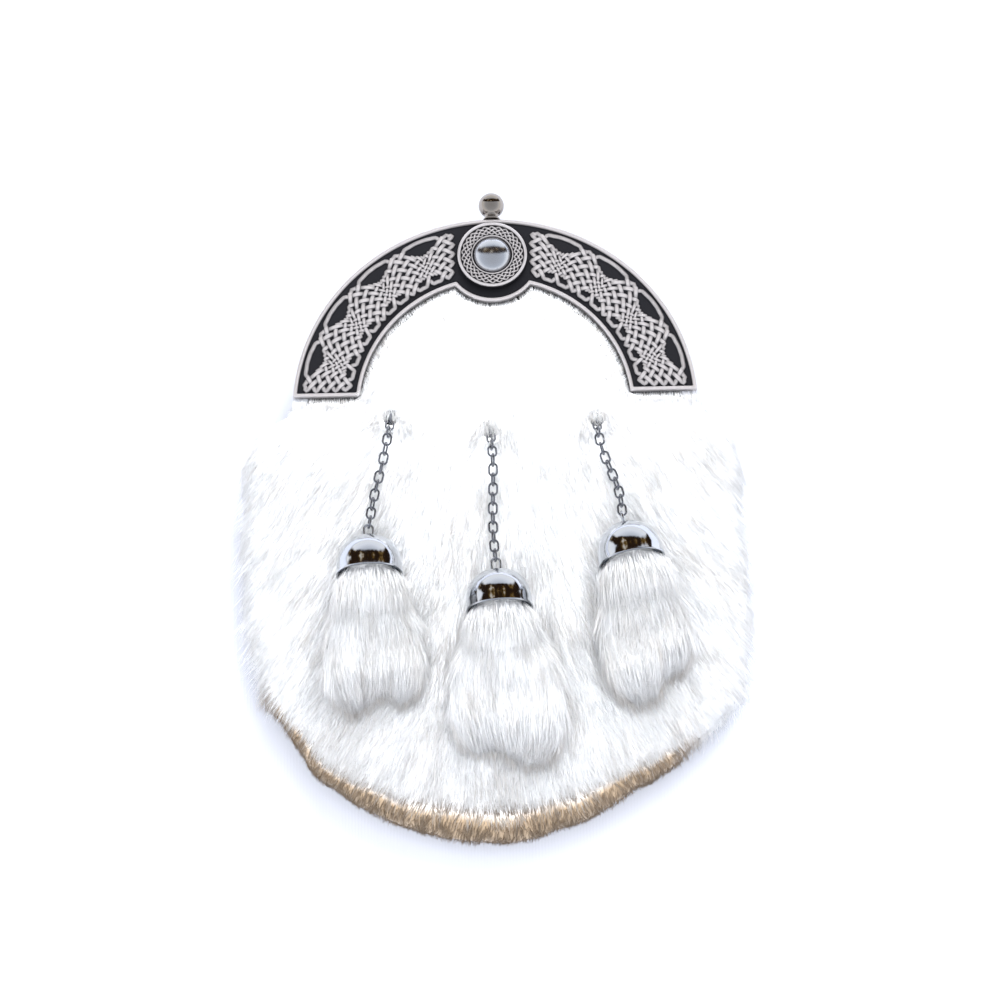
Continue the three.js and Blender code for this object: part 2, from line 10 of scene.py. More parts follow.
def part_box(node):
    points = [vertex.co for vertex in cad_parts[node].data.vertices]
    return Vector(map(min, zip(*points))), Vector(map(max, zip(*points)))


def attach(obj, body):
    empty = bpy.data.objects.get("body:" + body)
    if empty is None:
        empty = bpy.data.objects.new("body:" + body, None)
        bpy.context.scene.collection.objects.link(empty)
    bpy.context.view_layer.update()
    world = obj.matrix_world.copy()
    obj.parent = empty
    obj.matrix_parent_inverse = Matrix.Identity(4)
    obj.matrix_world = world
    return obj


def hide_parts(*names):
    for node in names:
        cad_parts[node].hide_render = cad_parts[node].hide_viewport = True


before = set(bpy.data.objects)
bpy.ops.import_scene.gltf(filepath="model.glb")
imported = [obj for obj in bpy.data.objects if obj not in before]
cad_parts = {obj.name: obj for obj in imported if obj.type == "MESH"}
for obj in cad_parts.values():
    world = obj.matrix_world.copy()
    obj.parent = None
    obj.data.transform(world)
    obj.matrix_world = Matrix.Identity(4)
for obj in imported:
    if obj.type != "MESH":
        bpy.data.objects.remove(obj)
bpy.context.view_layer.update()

bl_info = {
    "name": "Sporran pouch",
    "version": (1, 0, 0),
    "blender": (4, 5, 0),
    "location": "View3D > Sidebar > Sporran",
    "description": "Dresses a full dress sporran: fur coat, tassels, cast frame, bells, chains and leather",
    "category": "Add Mesh",
}

MM = 0.001

# Middle of the cast frame's lower chord, and the frame's own lie on the pouch.
CHORD_HIGH = 36 * MM
FRAME_TILT = math.radians(8)
LOW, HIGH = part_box("cantle")
CHORD = Vector(((LOW.x + HIGH.x) / 2, LOW.y, CHORD_HIGH))
LAY = Matrix.Translation(CHORD) @ Matrix.Rotation(-FRAME_TILT, 4, "X")
# The point below the chord's middle that places are counted from, and the middle of the coat.
ORIGIN = np.array([CHORD.x, CHORD.y, 0])
COAT_MIDDLE = np.array([CHORD.x, CHORD.y - 55 * MM])

# The cast frame in its own plane, in millimetres from the chord's middle.
ARC = {"y": -4.84, "outer": 75.2, "inner": 50.5}
BOSS = {"y": 55.2, "r": 13.25, "bulge": 18.3, "seat": 2.7}
# One half of the interlace: grid steps along and across, and the panel that they fill.
KNOT = {
    "along": 42,
    "across": 10,
    "unit": 10,
    "first": 6,
    "low": 7.6,
    "beside": 15.3,
    "inner": 54.3,
    "outer": 72.3,
}
# The plait round the boss: its steps round and across, and the radii between which it lies.
PLAIT = {"along": 52, "across": 4, "inner": 8.35, "outer": 11.55, "wide": 0.82, "high": 0.6, "lift": 0.16}

# Bells: top of the dome and middle of the mouth, in millimetres from the chord's middle.
BELLS = {
    "left": {"top": (-47.0, -54.0, 48.185), "mouth": (-46.565, -68.994, 51.448), "level": True},
    "centre": {"top": (-0.8, -67.5, 49.662), "mouth": (0.121, -82.472, 52.350), "level": True},
    "right": {"top": (45.8, -51.2, 48.198), "mouth": (48.327, -65.986, 51.321), "level": False},
}
# Where each chain leaves the coat, and where its tassel ends.
ROOTS = {"left": (-38.8, -8.0), "centre": (-2.1, -13.6), "right": (37.5, -10.0)}
TIPS = {"left": (-45.0, -123.0), "centre": (4.0, -145.5), "right": (58.5, -125.5)}
TIP_HIGH = 46.0
# The sheared wall round the pouch's foot: half its width, how far it swells, the hem above it, where the
# tan painted as shade under the hem begins, how much later it begins on the right, and where it ends on the
# right.
FOOT = {"half": 82, "swell": 4.6, "hem": 25.8, "tan_from": 98, "tan_later": 16, "tan_right": 76}
# The mouth cut through the back panel.
MOUTH = {"half": 48, "low": 12, "high": 24, "round": 5}


def from_hex(code):
    """A web colour as the linear colour that shaders use."""
    parts = [int(code[i : i + 2], 16) / 255 for i in (1, 3, 5)]
    return tuple(p / 12.92 if p <= 0.04045 else ((p + 0.055) / 1.055) ** 2.4 for p in parts) + (1.0,)


def length(name, description, default):
    """A size that a user can change."""
    return bpy.props.FloatProperty(name=name, description=description, default=default, unit="LENGTH")


class SporranSizes(bpy.types.PropertyGroup):
    """Sizes of what is finer than the solids"""

    hair_long: length("Coat hair", "Length of a guard hair of the coat", 17 * MM)
    hair_wide: length("Hair width", "Width of a hair at its thickest", 0.2 * MM)
    tassel_long: length("Tassel hair", "Length of a tassel hair", 16 * MM)
    strand_wide: length("Strand width", "Width of a strand of the interlace", 1.98 * MM)
    strand_high: length("Strand height", "Height of a strand over the ground", 0.75 * MM)
    wire: length("Chain wire", "Thickness of a link's wire", 0.79 * MM)


def colour(name, description, code):
    """A colour that a user can change."""
    return bpy.props.FloatVectorProperty(
        name=name, description=description, default=from_hex(code), size=4, subtype="COLOR", min=0, max=1
    )


class SporranColours(bpy.types.PropertyGroup):
    """Colours of the materials"""

    hair_tip: colour("Hair tip", "Bleached ends of the fur", "#FDFEFF")
    hair_root: colour("Hair root", "Fur near the skin", "#F4F6FA")
    # The warm hair colour is a tan left on a few locks. It is also a painted shade, on the wall round the
    # foot under the hem and at the tassels' lower ends.
    hair_tan_and_shade: colour("Warm hair", "Hairs that the bleach left tan", "#9F8B73")
    # The worn and dark metal colours are partly the pewter's own wear and darkened hollows, and partly
    # painted highlight and shade on the frame's relief.
    metal_high: colour("Worn metal", "High parts of the cast frame", "#B9B5B6")
    metal_low: colour("Dark metal", "Ground of the cast frame", "#222226")
    chrome: colour("Plate", "Bright plating", "#C6C9CE")
    wire: colour("Wire", "Dull plating of the chains", "#8F9197")
    ball: colour("Ball", "Warmer plating of the ball", "#9E978F")
    leather: colour("Leather", "Black leather", "#1A1614")
    leather_worn: colour("Worn leather", "Leather where the dye has rubbed off", "#3A332E")
    floor: colour("Floor", "White cloth under the pouch", "#B3B6BF")


def sizes():
    """The sizes as set in the panel."""
    return bpy.context.scene.sporran_sizes


def colours():
    """The colours as set in the panel."""
    return bpy.context.scene.sporran_colours


# Mesh helpers


def only(obj):
    """Selects this object alone and makes it active."""
    bpy.ops.object.select_all(action="DESELECT")
    obj.select_set(True)
    bpy.context.view_layer.objects.active = obj


def mesh_object(name, verts, faces):
    """An object at the origin from arrays of points in metres and of triangles or quads."""
    mesh = bpy.data.meshes.new(name)
    verts = np.asarray(verts, dtype=np.float32)
    faces = np.asarray(faces, dtype=np.int32)
    count, corners = faces.shape
    mesh.vertices.add(len(verts))
    mesh.vertices.foreach_set("co", verts.ravel())
    mesh.loops.add(count * corners)
    mesh.loops.foreach_set("vertex_index", faces.ravel())
    mesh.polygons.add(count)
    mesh.polygons.foreach_set("loop_start", np.arange(0, count * corners, corners, dtype=np.int32))
    mesh.update(calc_edges=True)
    mesh.validate()
    obj = bpy.data.objects.new(name, mesh)
    bpy.context.scene.collection.objects.link(obj)
    return obj


def spun(name, profile, steps, closed=False):
    """A turned piece: the profile holds (radius, height) in millimetres, spun round Z."""
    mesh = bpy.data.meshes.new(name)
    points = [(r * MM, 0, z * MM) for r, z in profile]
    edges = [(i, i + 1) for i in range(len(points) - 1)]
    if closed:
        edges.append((len(points) - 1, 0))
    mesh.from_pydata(points, edges, [])
    obj = bpy.data.objects.new(name, mesh)
    bpy.context.scene.collection.objects.link(obj)
    only(obj)
    bpy.ops.object.mode_set(mode="EDIT")
    bpy.ops.mesh.select_all(action="SELECT")
    bpy.ops.mesh.spin(steps=steps, angle=2 * math.pi, center=(0, 0, 0), axis=(0, 0, 1))
    bpy.ops.object.mode_set(mode="OBJECT")
    return sealed(obj, 0.005 * MM)


def sealed(obj, merge=0.0):
    """Merges points that lie together and turns every face outward."""
    only(obj)
    bpy.ops.object.mode_set(mode="EDIT")
    bpy.ops.mesh.select_all(action="SELECT")
    if merge:
        bpy.ops.mesh.remove_doubles(threshold=merge)
    bpy.ops.mesh.normals_make_consistent(inside=False)
    bpy.ops.object.mode_set(mode="OBJECT")
    return obj


def lofted(name, rings):
    """A closed piece through rings of as many points each, capped at both ends."""
    count = len(rings[0])
    faces = [list(range(count - 1, -1, -1)), [count * (len(rings) - 1) + k for k in range(count)]]
    for level in range(len(rings) - 1):
        for k in range(count):
            a, b = level * count + k, level * count + (k + 1) % count
            faces.append([a, b, b + count, a + count])
    mesh = bpy.data.meshes.new(name)
    mesh.from_pydata([tuple(point) for ring in rings for point in ring], [], faces)
    obj = bpy.data.objects.new(name, mesh)
    bpy.context.scene.collection.objects.link(obj)
    return sealed(obj)


def join(name, parts):
    """Joins the parts into one piece of that name."""
    only(parts[0])
    for part in parts:
        part.select_set(True)
    if len(parts) > 1:
        bpy.ops.object.join()
    parts[0].name = name
    parts[0].data.name = name
    return parts[0]


def moved(obj, matrix):
    """Puts the place into the mesh and leaves the object at the origin."""
    obj.data.transform(matrix)
    obj.data.update()
    return obj


def apply_modifiers(obj):
    """Applies every modifier of a piece, in order."""
    only(obj)
    for modifier in list(obj.modifiers):
        bpy.ops.object.modifier_apply(modifier=modifier.name)


def finished(obj, material, nodes=(), smooth=40):
    """Gives a piece its material and shading, and ties it to the frame."""
    obj.data.materials.clear()
    obj.data.materials.append(material)
    only(obj)
    bpy.ops.object.shade_smooth_by_angle(angle=math.radians(smooth))
    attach(obj, "root")
    if nodes:
        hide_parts(*nodes)
    return obj


def attribute(obj, name, values):
    """Stores one value a point, which the materials read by its name."""
    made = obj.data.attributes.new(name, "FLOAT", "POINT")
    made.data.foreach_set("value", np.asarray(values, dtype=np.float32))


# Node helpers


def fresh_material(name):
    """A material with an empty node tree."""
    material = bpy.data.materials.new(name)
    material.use_nodes = True
    material.node_tree.nodes.clear()
    return material, material.node_tree


def add(tree, kind, inputs=None, **settings):
    """Adds a node with its settings; an input is a value or another node's output."""
    made = tree.nodes.new(kind)
    for key, value in settings.items():
        setattr(made, key, value)
    for key, value in (inputs or {}).items():
        if isinstance(value, bpy.types.NodeSocket):
            tree.links.new(value, made.inputs[key])
        else:
            made.inputs[key].default_value = value
    return made


def fill_ramp(line, stops):
    """Sets the stops of a colour ramp, each a position and a web colour or a grey."""
    while len(line.elements) < len(stops):
        line.elements.new(1.0)
    for element, (at, shade) in zip(line.elements, stops):
        element.position = at
        element.color = from_hex(shade) if isinstance(shade, str) else (shade, shade, shade, 1)


def ramp(tree, value, stops):
    """A value turned into others by (position, grey) stops."""
    made = add(tree, "ShaderNodeValToRGB", {"Fac": value})
    fill_ramp(made.color_ramp, stops)
    return made.outputs["Color"]


def mixed(tree, factor, first, second, blend="MIX"):
    """Two colours mixed by a factor; each is a value or another node's output."""
    made = add(tree, "ShaderNodeMix", data_type="RGBA", blend_type=blend)
    for index, value in ((0, factor), (6, first), (7, second)):
        if isinstance(value, bpy.types.NodeSocket):
            tree.links.new(value, made.inputs[index])
        else:
            made.inputs[index].default_value = value
    return made.outputs[2]


def noise(tree, place, scale, detail=3.0, roughness=0.5):
    """Cloudy noise, its scale counted in waves a metre."""
    inputs = {"Vector": place, "Scale": scale, "Detail": detail, "Roughness": roughness}
    return add(tree, "ShaderNodeTexNoise", inputs).outputs["Fac"]


def output(tree, shader):
    """Ends a material in its shader."""
    add(tree, "ShaderNodeOutputMaterial", {"Surface": shader})


# Materials


def fur_material(name):
    """Bleached rabbit fur: fine translucent hair, whiter and drier at its tips, a few hairs left warm, and
    the same warm colour painted as shade under the hem and at the tassels' ends.
    """
    material, tree = fresh_material(name)
    along = add(tree, "ShaderNodeAttribute", attribute_name="along").outputs["Fac"]
    tan_and_shade = add(tree, "ShaderNodeAttribute", attribute_name="tan_and_shade").outputs["Fac"]
    c = colours()
    body = mixed(tree, ramp(tree, along, [(0.0, 0.0), (0.45, 1.0)]), c.hair_root, c.hair_tip)
    body = mixed(tree, tan_and_shade, body, c.hair_tan_and_shade)
    hair = add(
        tree,
        "ShaderNodeBsdfPrincipled",
        {"Base Color": body, "Roughness": 0.55, "Specular IOR Level": 0.35, "Sheen Weight": 0.25},
    )
    # Light that comes through the hair from behind keeps the coat soft where it is thin.
    through = add(tree, "ShaderNodeBsdfTranslucent", {"Color": body})
    share = 0.62
    both = add(tree, "ShaderNodeMixShader", {0: share, 1: hair.outputs[0], 2: through.outputs[0]})
    output(tree, both.outputs[0])
    return material


def underfur_material():
    """The dense short wool under the guard hairs: matt, and combed the way the hair lies."""
    material, tree = fresh_material("underfur_wool")
    place = add(tree, "ShaderNodeTexCoord").outputs["Object"]
    combed = add(
        tree, "ShaderNodeMapping", {"Vector": place, "Rotation": (0, 0, 0.1), "Scale": (1.0, 0.16, 1.0)}
    ).outputs[0]
    fine = noise(tree, combed, 2600.0, 4.0, 0.6)
    tufts = noise(tree, place, 180.0, 3.0)
    c = colours()
    tan_and_shade = add(tree, "ShaderNodeAttribute", attribute_name="tan_and_shade").outputs["Fac"]
    body = mixed(tree, ramp(tree, fine, [(0.3, 0.0), (0.7, 1.0)]), c.hair_root, c.hair_tip)
    # The warm colour on the wall round the foot is painted shade under the hem.
    body = mixed(tree, tan_and_shade, body, c.hair_tan_and_shade)
    raised = mixed(tree, 0.4, fine, tufts)
    bump = add(tree, "ShaderNodeBump", {"Height": raised, "Strength": 0.5, "Distance": 0.8 * MM})
    wool = add(
        tree,
        "ShaderNodeBsdfPrincipled",
        {"Base Color": body, "Roughness": 0.9, "Sheen Weight": 0.4, "Normal": bump.outputs[0]},
    )
    output(tree, wool.outputs[0])
    return material


def cast_material():
    """Cast pewter, darkened all over and rubbed bright where hands and cloth reach it; the bright and dark
    also paint highlight and shade over its relief.
    """
    material, tree = fresh_material("darkened_pewter")
    wear_and_painted_light = add(tree, "ShaderNodeAttribute", attribute_name="wear_and_painted_light").outputs["Fac"]
    place = add(tree, "ShaderNodeTexCoord").outputs["Object"]
    grain = noise(tree, place, 1500.0, 4.0, 0.6)
    cloud = noise(tree, place, 90.0, 3.0)
    # The rubbed pattern is wear, and also painted highlight and shade.
    rubbed = mixed(tree, 0.25, wear_and_painted_light, cloud, "OVERLAY")
    c = colours()
    body = mixed(tree, ramp(tree, rubbed, [(0.25, 0.0), (0.8, 1.0)]), c.metal_low, c.metal_high)
    rough = ramp(tree, rubbed, [(0.2, 0.5), (0.9, 0.3)])
    bump = add(tree, "ShaderNodeBump", {"Height": grain, "Strength": 0.25, "Distance": 0.06 * MM})
    cast = add(
        tree,
        "ShaderNodeBsdfPrincipled",
        {"Base Color": body, "Metallic": 0.65, "Roughness": rough, "Normal": bump.outputs[0]},
    )
    output(tree, cast.outputs[0])
    return material


def plate_material(name, rough, scratch, shade):
    """Chromium plate over brass: mirror bright, with the hairline marks of wiping."""
    material, tree = fresh_material(name)
    place = add(tree, "ShaderNodeTexCoord").outputs["Object"]
    lines = add(
        tree, "ShaderNodeMapping", {"Vector": place, "Rotation": (0.3, 0.5, 0.9), "Scale": (1.0, 12.0, 1.0)}
    ).outputs[0]
    marks = noise(tree, lines, 700.0, 5.0, 0.7)
    smudge = noise(tree, place, 160.0, 2.0)
    roughness = ramp(tree, mixed(tree, 0.5, marks, smudge), [(0.35, rough), (0.75, rough + scratch)])
    bump = add(tree, "ShaderNodeBump", {"Height": marks, "Strength": 0.05, "Distance": 0.02 * MM})
    plate = add(
        tree,
        "ShaderNodeBsdfPrincipled",
        {"Base Color": shade, "Metallic": 1.0, "Roughness": roughness, "Normal": bump.outputs[0]},
    )
    output(tree, plate.outputs[0])
    return material


def leather_material(name, grain_mm, gloss):
    """Black cowhide with a printed pebble grain: creases dull, pebble tops burnished by wear."""
    material, tree = fresh_material(name)
    place = add(tree, "ShaderNodeTexCoord").outputs["Object"]
    bend = noise(tree, place, 260.0, 3.0)
    drift = add(tree, "ShaderNodeTexNoise", {"Vector": place, "Scale": 400.0}).outputs["Color"]
    wander = mixed(tree, 0.0012, place, drift, "ADD")
    cells = {"Vector": wander, "Scale": 1 / (grain_mm * MM)}
    pebble = add(tree, "ShaderNodeTexVoronoi", cells, feature="DISTANCE_TO_EDGE").outputs["Distance"]
    raised = ramp(tree, pebble, [(0.0, 0.0), (0.22, 1.0)])
    height = mixed(tree, 0.2, raised, bend)
    c = colours()
    body = mixed(tree, ramp(tree, bend, [(0.3, 0.0), (0.8, 0.35)]), c.leather, c.leather_worn)
    rough = ramp(tree, raised, [(0.0, gloss + 0.3), (1.0, gloss)])
    bump = add(tree, "ShaderNodeBump", {"Height": height, "Strength": 0.45, "Distance": 0.25 * MM})
    hide = add(
        tree,
        "ShaderNodeBsdfPrincipled",
        {"Base Color": body, "Roughness": rough, "Specular IOR Level": 0.45, "Normal": bump.outputs[0]},
    )
    output(tree, hide.outputs[0])
    return material


def thread_material():
    """Waxed linen thread: dark, faintly glossy, with the turns of its plies."""
    material, tree = fresh_material("waxed_thread")
    place = add(tree, "ShaderNodeTexCoord").outputs["Object"]
    turns = {"Vector": place, "Scale": 520.0, "Distortion": 2.0}
    plies = add(tree, "ShaderNodeTexWave", turns).outputs["Fac"]
    body = mixed(tree, plies, from_hex("#1B1815"), from_hex("#4A423A"))
    bump = add(tree, "ShaderNodeBump", {"Height": plies, "Strength": 0.4, "Distance": 0.08 * MM})
    thread = add(
        tree,
        "ShaderNodeBsdfPrincipled",
        {"Base Color": body, "Roughness": 0.5, "Specular IOR Level": 0.5, "Normal": bump.outputs[0]},
    )
    output(tree, thread.outputs[0])
    return material


def floor_material():
    """White cotton cloth: a plain close weave that barely shows under bright light."""
    material, tree = fresh_material("white_cotton")
    place = add(tree, "ShaderNodeTexCoord").outputs["Object"]
    threads = {"Vector": place, "Scale": 260.0, "Distortion": 1.5, "Detail": 2.0}
    weave = add(tree, "ShaderNodeTexWave", threads).outputs["Fac"]
    bump = add(tree, "ShaderNodeBump", {"Height": weave, "Strength": 0.12, "Distance": 0.2 * MM})
    white = colours().floor
    cloth = add(
        tree,
        "ShaderNodeBsdfPrincipled",
        {"Base Color": white, "Roughness": 0.9, "Specular IOR Level": 0.1, "Normal": bump.outputs[0]},
    )
    output(tree, cloth.outputs[0])
    return material


# Fur


def in_mm(at):
    """The x, y and z of places, in millimetres from the floor below the chord's middle."""
    return (at - ORIGIN).T / MM


def fade(value, start, stop):
    """0 up to start, 1 from stop on, and straight between them, whichever is the larger."""
    return np.clip((value - start) / (stop - start), 0, 1)


def unit(v):
    """Each row drawn to length 1."""
    return v / np.maximum(np.linalg.norm(v, axis=1, keepdims=True), 1e-12)


def points_and_normals(mesh):
    """Every point of a mesh and the way its surface faces there."""
    co = np.empty(len(mesh.vertices) * 3, dtype=np.float32)
    mesh.vertices.foreach_get("co", co)
    normal = np.empty(len(mesh.vertices) * 3, dtype=np.float32)
    mesh.vertex_normals.foreach_get("vector", normal)
    return co.reshape(-1, 3).astype(float), normal.reshape(-1, 3).astype(float)


def set_points(mesh, co):
    """Moves every point of a mesh to its new place."""
    mesh.vertices.foreach_set("co", co.astype(np.float32).ravel())
    mesh.update()


def surface_of(node):
    """A solid's surface, for finding the nearest place on it."""
    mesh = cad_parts[node].data
    corners = [vertex.co.copy() for vertex in mesh.vertices]
    return BVHTree.FromPolygons(corners, [tuple(polygon.vertices) for polygon in mesh.polygons])


def skin_under(node, name, voxel, shrink, rounds):
    """The wool under a fur solid: the solid remeshed fine, softened, and its outside drawn in."""
    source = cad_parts[node]
    skin = bpy.data.objects.new(name, source.data.copy())
    bpy.context.scene.collection.objects.link(skin)
    skin.data.materials.clear()
    sealed(skin, 0.01 * MM)
    remesh = skin.modifiers.new("fine", "REMESH")
    remesh.mode = "VOXEL"
    remesh.voxel_size = voxel
    soft = skin.modifiers.new("soft", "SMOOTH")
    soft.factor = 0.5
    soft.iterations = rounds
    apply_modifiers(skin)
    co, normal = points_and_normals(skin.data)
    depth = shrink * outside(node, co, normal)
    shade = np.zeros(len(co))
    if node == "body_fur":
        shape_foot(co, normal)
        # On the wall round the foot the wool isn't drawn in, and is painted tan as the shade under the hem.
        shade = hem_shade(co, normal)
        depth = coat_depth(co, depth) * (1 - shade)
    set_points(skin.data, co - normal * depth[:, None])
    attribute(skin, "tan_and_shade", shade)
    return skin


def shape_foot(co, normal):
    """Evens the sheared wall round the foot to one smooth curve, and swells it out below the hem."""
    x, y, z = in_mm(co)
    y = y + even_foot(x, y, z)
    co[:, 1] = CHORD.y + y * MM
    swell = fade(-y, 100, 130) * np.clip(1 - (x / FOOT["half"]) ** 2, 0, 1) * fade(z, 25, 16)
    facing_down = np.clip(-normal[:, 1] / 0.5, 0, 1)
    co[:, 1] -= FOOT["swell"] * MM * swell * facing_down


def even_foot(x, y, z):
    """How far the wall round the foot moves so that its outline follows one smooth curve."""
    step, reach, scale, order = 4, 2.5, 80, 6
    centres = np.arange(-FOOT["half"], FOOT["half"] + 1, step)
    edge = np.array([y[np.abs(x - centre) < reach].min() for centre in centres])
    curve = np.polyfit(centres / scale, edge, order)
    shift = np.polyval(curve, x / scale) - np.interp(x, centres, edge)
    return shift * fade(-y, 96, 110) * fade(z, 31, 25) * fade(np.abs(x), 83, 75)


def coat_depth(co, depth):
    """How far the coat's wool is drawn in: never down to the hide, and not at the chains' roots."""
    gap = 0.7 * MM
    hide = surface_of("hide_shell")
    room = np.array([hide.find_nearest(p)[3] for p in co])
    depth = np.minimum(depth, np.maximum(room - gap, 0))
    x, y, _ = in_mm(co)
    for rx, ry in ROOTS.values():
        depth *= fade(np.hypot(x - rx, y - ry), 5, 8)
    return depth


def hem_shade(at, normal):
    """1 on the wall of the pouch round its foot, where the fur is sheared short and painted tan as the
    shade under the overhanging hem.
    """
    x, y, z = in_mm(at)
    below = fade(z, FOOT["hem"], FOOT["hem"] - 1.6)
    start = FOOT["tan_from"] + FOOT["tan_later"] * fade(x, 0, 60)
    foot = fade(-y, start, start + 16)
    right_end = fade(x, FOOT["tan_right"], FOOT["tan_right"] - 14)
    return below * foot * right_end * fade(normal[:, 1], 0.1, -0.2)


def hem_room(skin, at):
    """How far inside the edge of the coat's upper face each place lies."""
    bins, upward, above = 180, 0.6, 25 * MM
    co, normal = points_and_normals(skin.data)
    upper = co[(normal[:, 2] > upward) & (co[:, 2] > above)][:, :2] - COAT_MIDDLE
    place = ((np.arctan2(upper[:, 1], upper[:, 0]) / (2 * math.pi) + 0.5) * bins).astype(int) % bins
    edge = np.zeros(bins)
    np.maximum.at(edge, place, np.linalg.norm(upper, axis=1))
    spoke = at[:, :2] - COAT_MIDDLE
    place = (np.arctan2(spoke[:, 1], spoke[:, 0]) / (2 * math.pi) + 0.5) * bins - 0.5
    return np.interp(place, np.arange(bins), edge, period=bins) - np.linalg.norm(spoke, axis=1)


def outside(node, co, normal):
    """1 on the face that the hair grows from, 0 on the face towards the hide."""
    if node != "body_fur":
        return np.ones(len(co))
    radial = co[:, :2] - COAT_MIDDLE
    radial /= np.linalg.norm(radial, axis=1, keepdims=True)
    facing = np.maximum(normal[:, 2] * 1.2, (normal[:, :2] * radial).sum(axis=1))
    return fade(facing, 0.1, 0.4)


def scattered(skin, count, keep, rng):
    """Random points on a skin, even over its area, with their normals, where keep says so."""
    mesh = skin.data
    mesh.calc_loop_triangles()
    tris = np.empty(len(mesh.loop_triangles) * 3, dtype=np.int32)
    mesh.loop_triangles.foreach_get("vertices", tris)
    tris = tris.reshape(-1, 3)
    co, normal = points_and_normals(mesh)
    a, b, c = (co[tris[:, k]] for k in range(3))
    area = np.linalg.norm(np.cross(b - a, c - a), axis=1) / 2
    middle = (a + b + c) / 3
    area = area * keep(middle, normal[tris[:, 0]])
    chosen = np.searchsorted(np.cumsum(area), rng.random(count) * area.sum())
    chosen = np.minimum(chosen, len(tris) - 1)
    u, v = rng.random(count), rng.random(count)
    over = u + v > 1
    u[over], v[over] = 1 - u[over], 1 - v[over]
    weights = np.stack([1 - u - v, u, v], axis=1)[:, :, None]
    at = (co[tris[chosen]] * weights).sum(axis=1)
    up = unit((normal[tris[chosen]] * weights).sum(axis=1))
    return at, up


def ripple(x, y, seed):
    """A smooth wandering value from -1 to 1 over the plane, for places in millimetres."""
    rng = np.random.default_rng(seed)
    total = np.zeros(len(x))
    wave_lengths = (60, 34, 21, 13)
    for size in wave_lengths:
        turn = rng.random() * 2 * math.pi
        phase = rng.random(2) * 2 * math.pi
        u = (x * math.cos(turn) + y * math.sin(turn)) / size * 2 * math.pi
        v = (y * math.cos(turn) - x * math.sin(turn)) / size * 2 * math.pi
        total += np.sin(u + phase[0]) * np.cos(v * 0.7 + phase[1])
    return total / 3


def hair_spines(at, up, way, long, rise, droop, clump, rng, steps):
    """The points along each hair at the steps, and the lock that each hair belongs to."""
    count = len(at)
    root_deep, most_pull = 0.4 * MM, 4 * MM
    spacing, pull = clump
    seeds = rng.choice(count, max(8, int(count * spacing)), replace=False)
    tree = KDTree(len(seeds))
    for k, s in enumerate(seeds):
        tree.insert(at[s], k)
    tree.balance()
    lock = seeds[np.array([tree.find(p)[1] for p in at])]
    reach = way * long[:, None]
    lift = up * (long * rise)[:, None]
    spine = []
    for t in steps:
        p = at - up * root_deep + reach * t + lift * (1.6 * t - 0.9 * t * t)
        p[:, 2] -= droop * long * t * t
        spine.append(p)
    # No hair goes through the cloth that the pouch lies on.
    low = (0.5 + rng.random(count)) * MM
    for p in spine:
        p[:, 2] = np.maximum(p[:, 2], low)
    tip_of_lock = spine[-1][lock]
    for k, t in enumerate(steps):
        if k:
            pulled = np.clip(tip_of_lock - spine[-1], -most_pull, most_pull)
            spine[k] = spine[k] + pulled * (pull * t**1.4)
    return spine, lock


def hair_faces(bends, per):
    """The triangles of one hair: a root point, a ring of three at each bend, and a tip point."""
    faces = []
    for m in range(3):
        n = (m + 1) % 3
        faces.append((0, 1 + n, 1 + m))
        if bends == 2:
            faces += [(1 + m, 1 + n, 4 + m), (1 + n, 4 + n, 4 + m)]
        last = per - 4
        faces.append((last + m, last + n, per - 1))
    return np.array(faces)


def hairs(name, at, up, way, long, wide, rise, droop, clump, rng, bends=2, tan_and_shade=0):
    """Closed tapered hairs: each leaves the skin, bends over along its way and droops to its tip.

    clump is (spacing, pull): hairs near one another lean together at their tips."""
    count = len(at)
    steps = np.array([0.0, 0.42, 1.0] if bends == 1 else [0.0, 0.3, 0.68, 1.0])
    spine, lock = hair_spines(at, up, way, long, rise, droop, clump, rng, steps)
    verts, shade = [spine[0]], [np.zeros(count)]
    flat, thinner = 0.7, 0.75
    for k in range(1, len(steps) - 1):
        ahead = unit(spine[k + 1] - spine[k - 1])
        side = unit(np.cross(ahead, up))
        over = np.cross(side, ahead)
        girth = wide * (1.0 if k == 1 else thinner)
        for turn in (90, 210, 330):
            a = math.radians(turn)
            round_way = side * math.cos(a) + over * math.sin(a) * flat
            verts.append(spine[k] + round_way * girth[:, None] / 2)
            shade.append(np.full(count, steps[k]))
    verts.append(spine[-1])
    shade.append(np.ones(count))
    per = len(verts)
    verts = np.stack(verts, axis=1).reshape(-1, 3)
    every = (np.arange(count) * per)[:, None, None] + hair_faces(bends, per)[None]
    obj = mesh_object(name, verts, every.reshape(-1, 3))
    attribute(obj, "along", np.stack(shade, axis=1).reshape(-1))
    # A few locks keep a trace of the tan, and to it is added the warm painted shade that the caller gives.
    stain = 0.35 * (rng.random(count)[lock] * 0.5 + rng.random(count) * 0.5) ** 3
    attribute(obj, "tan_and_shade", np.repeat(np.clip(stain + tan_and_shade, 0, 1), per))
    return obj


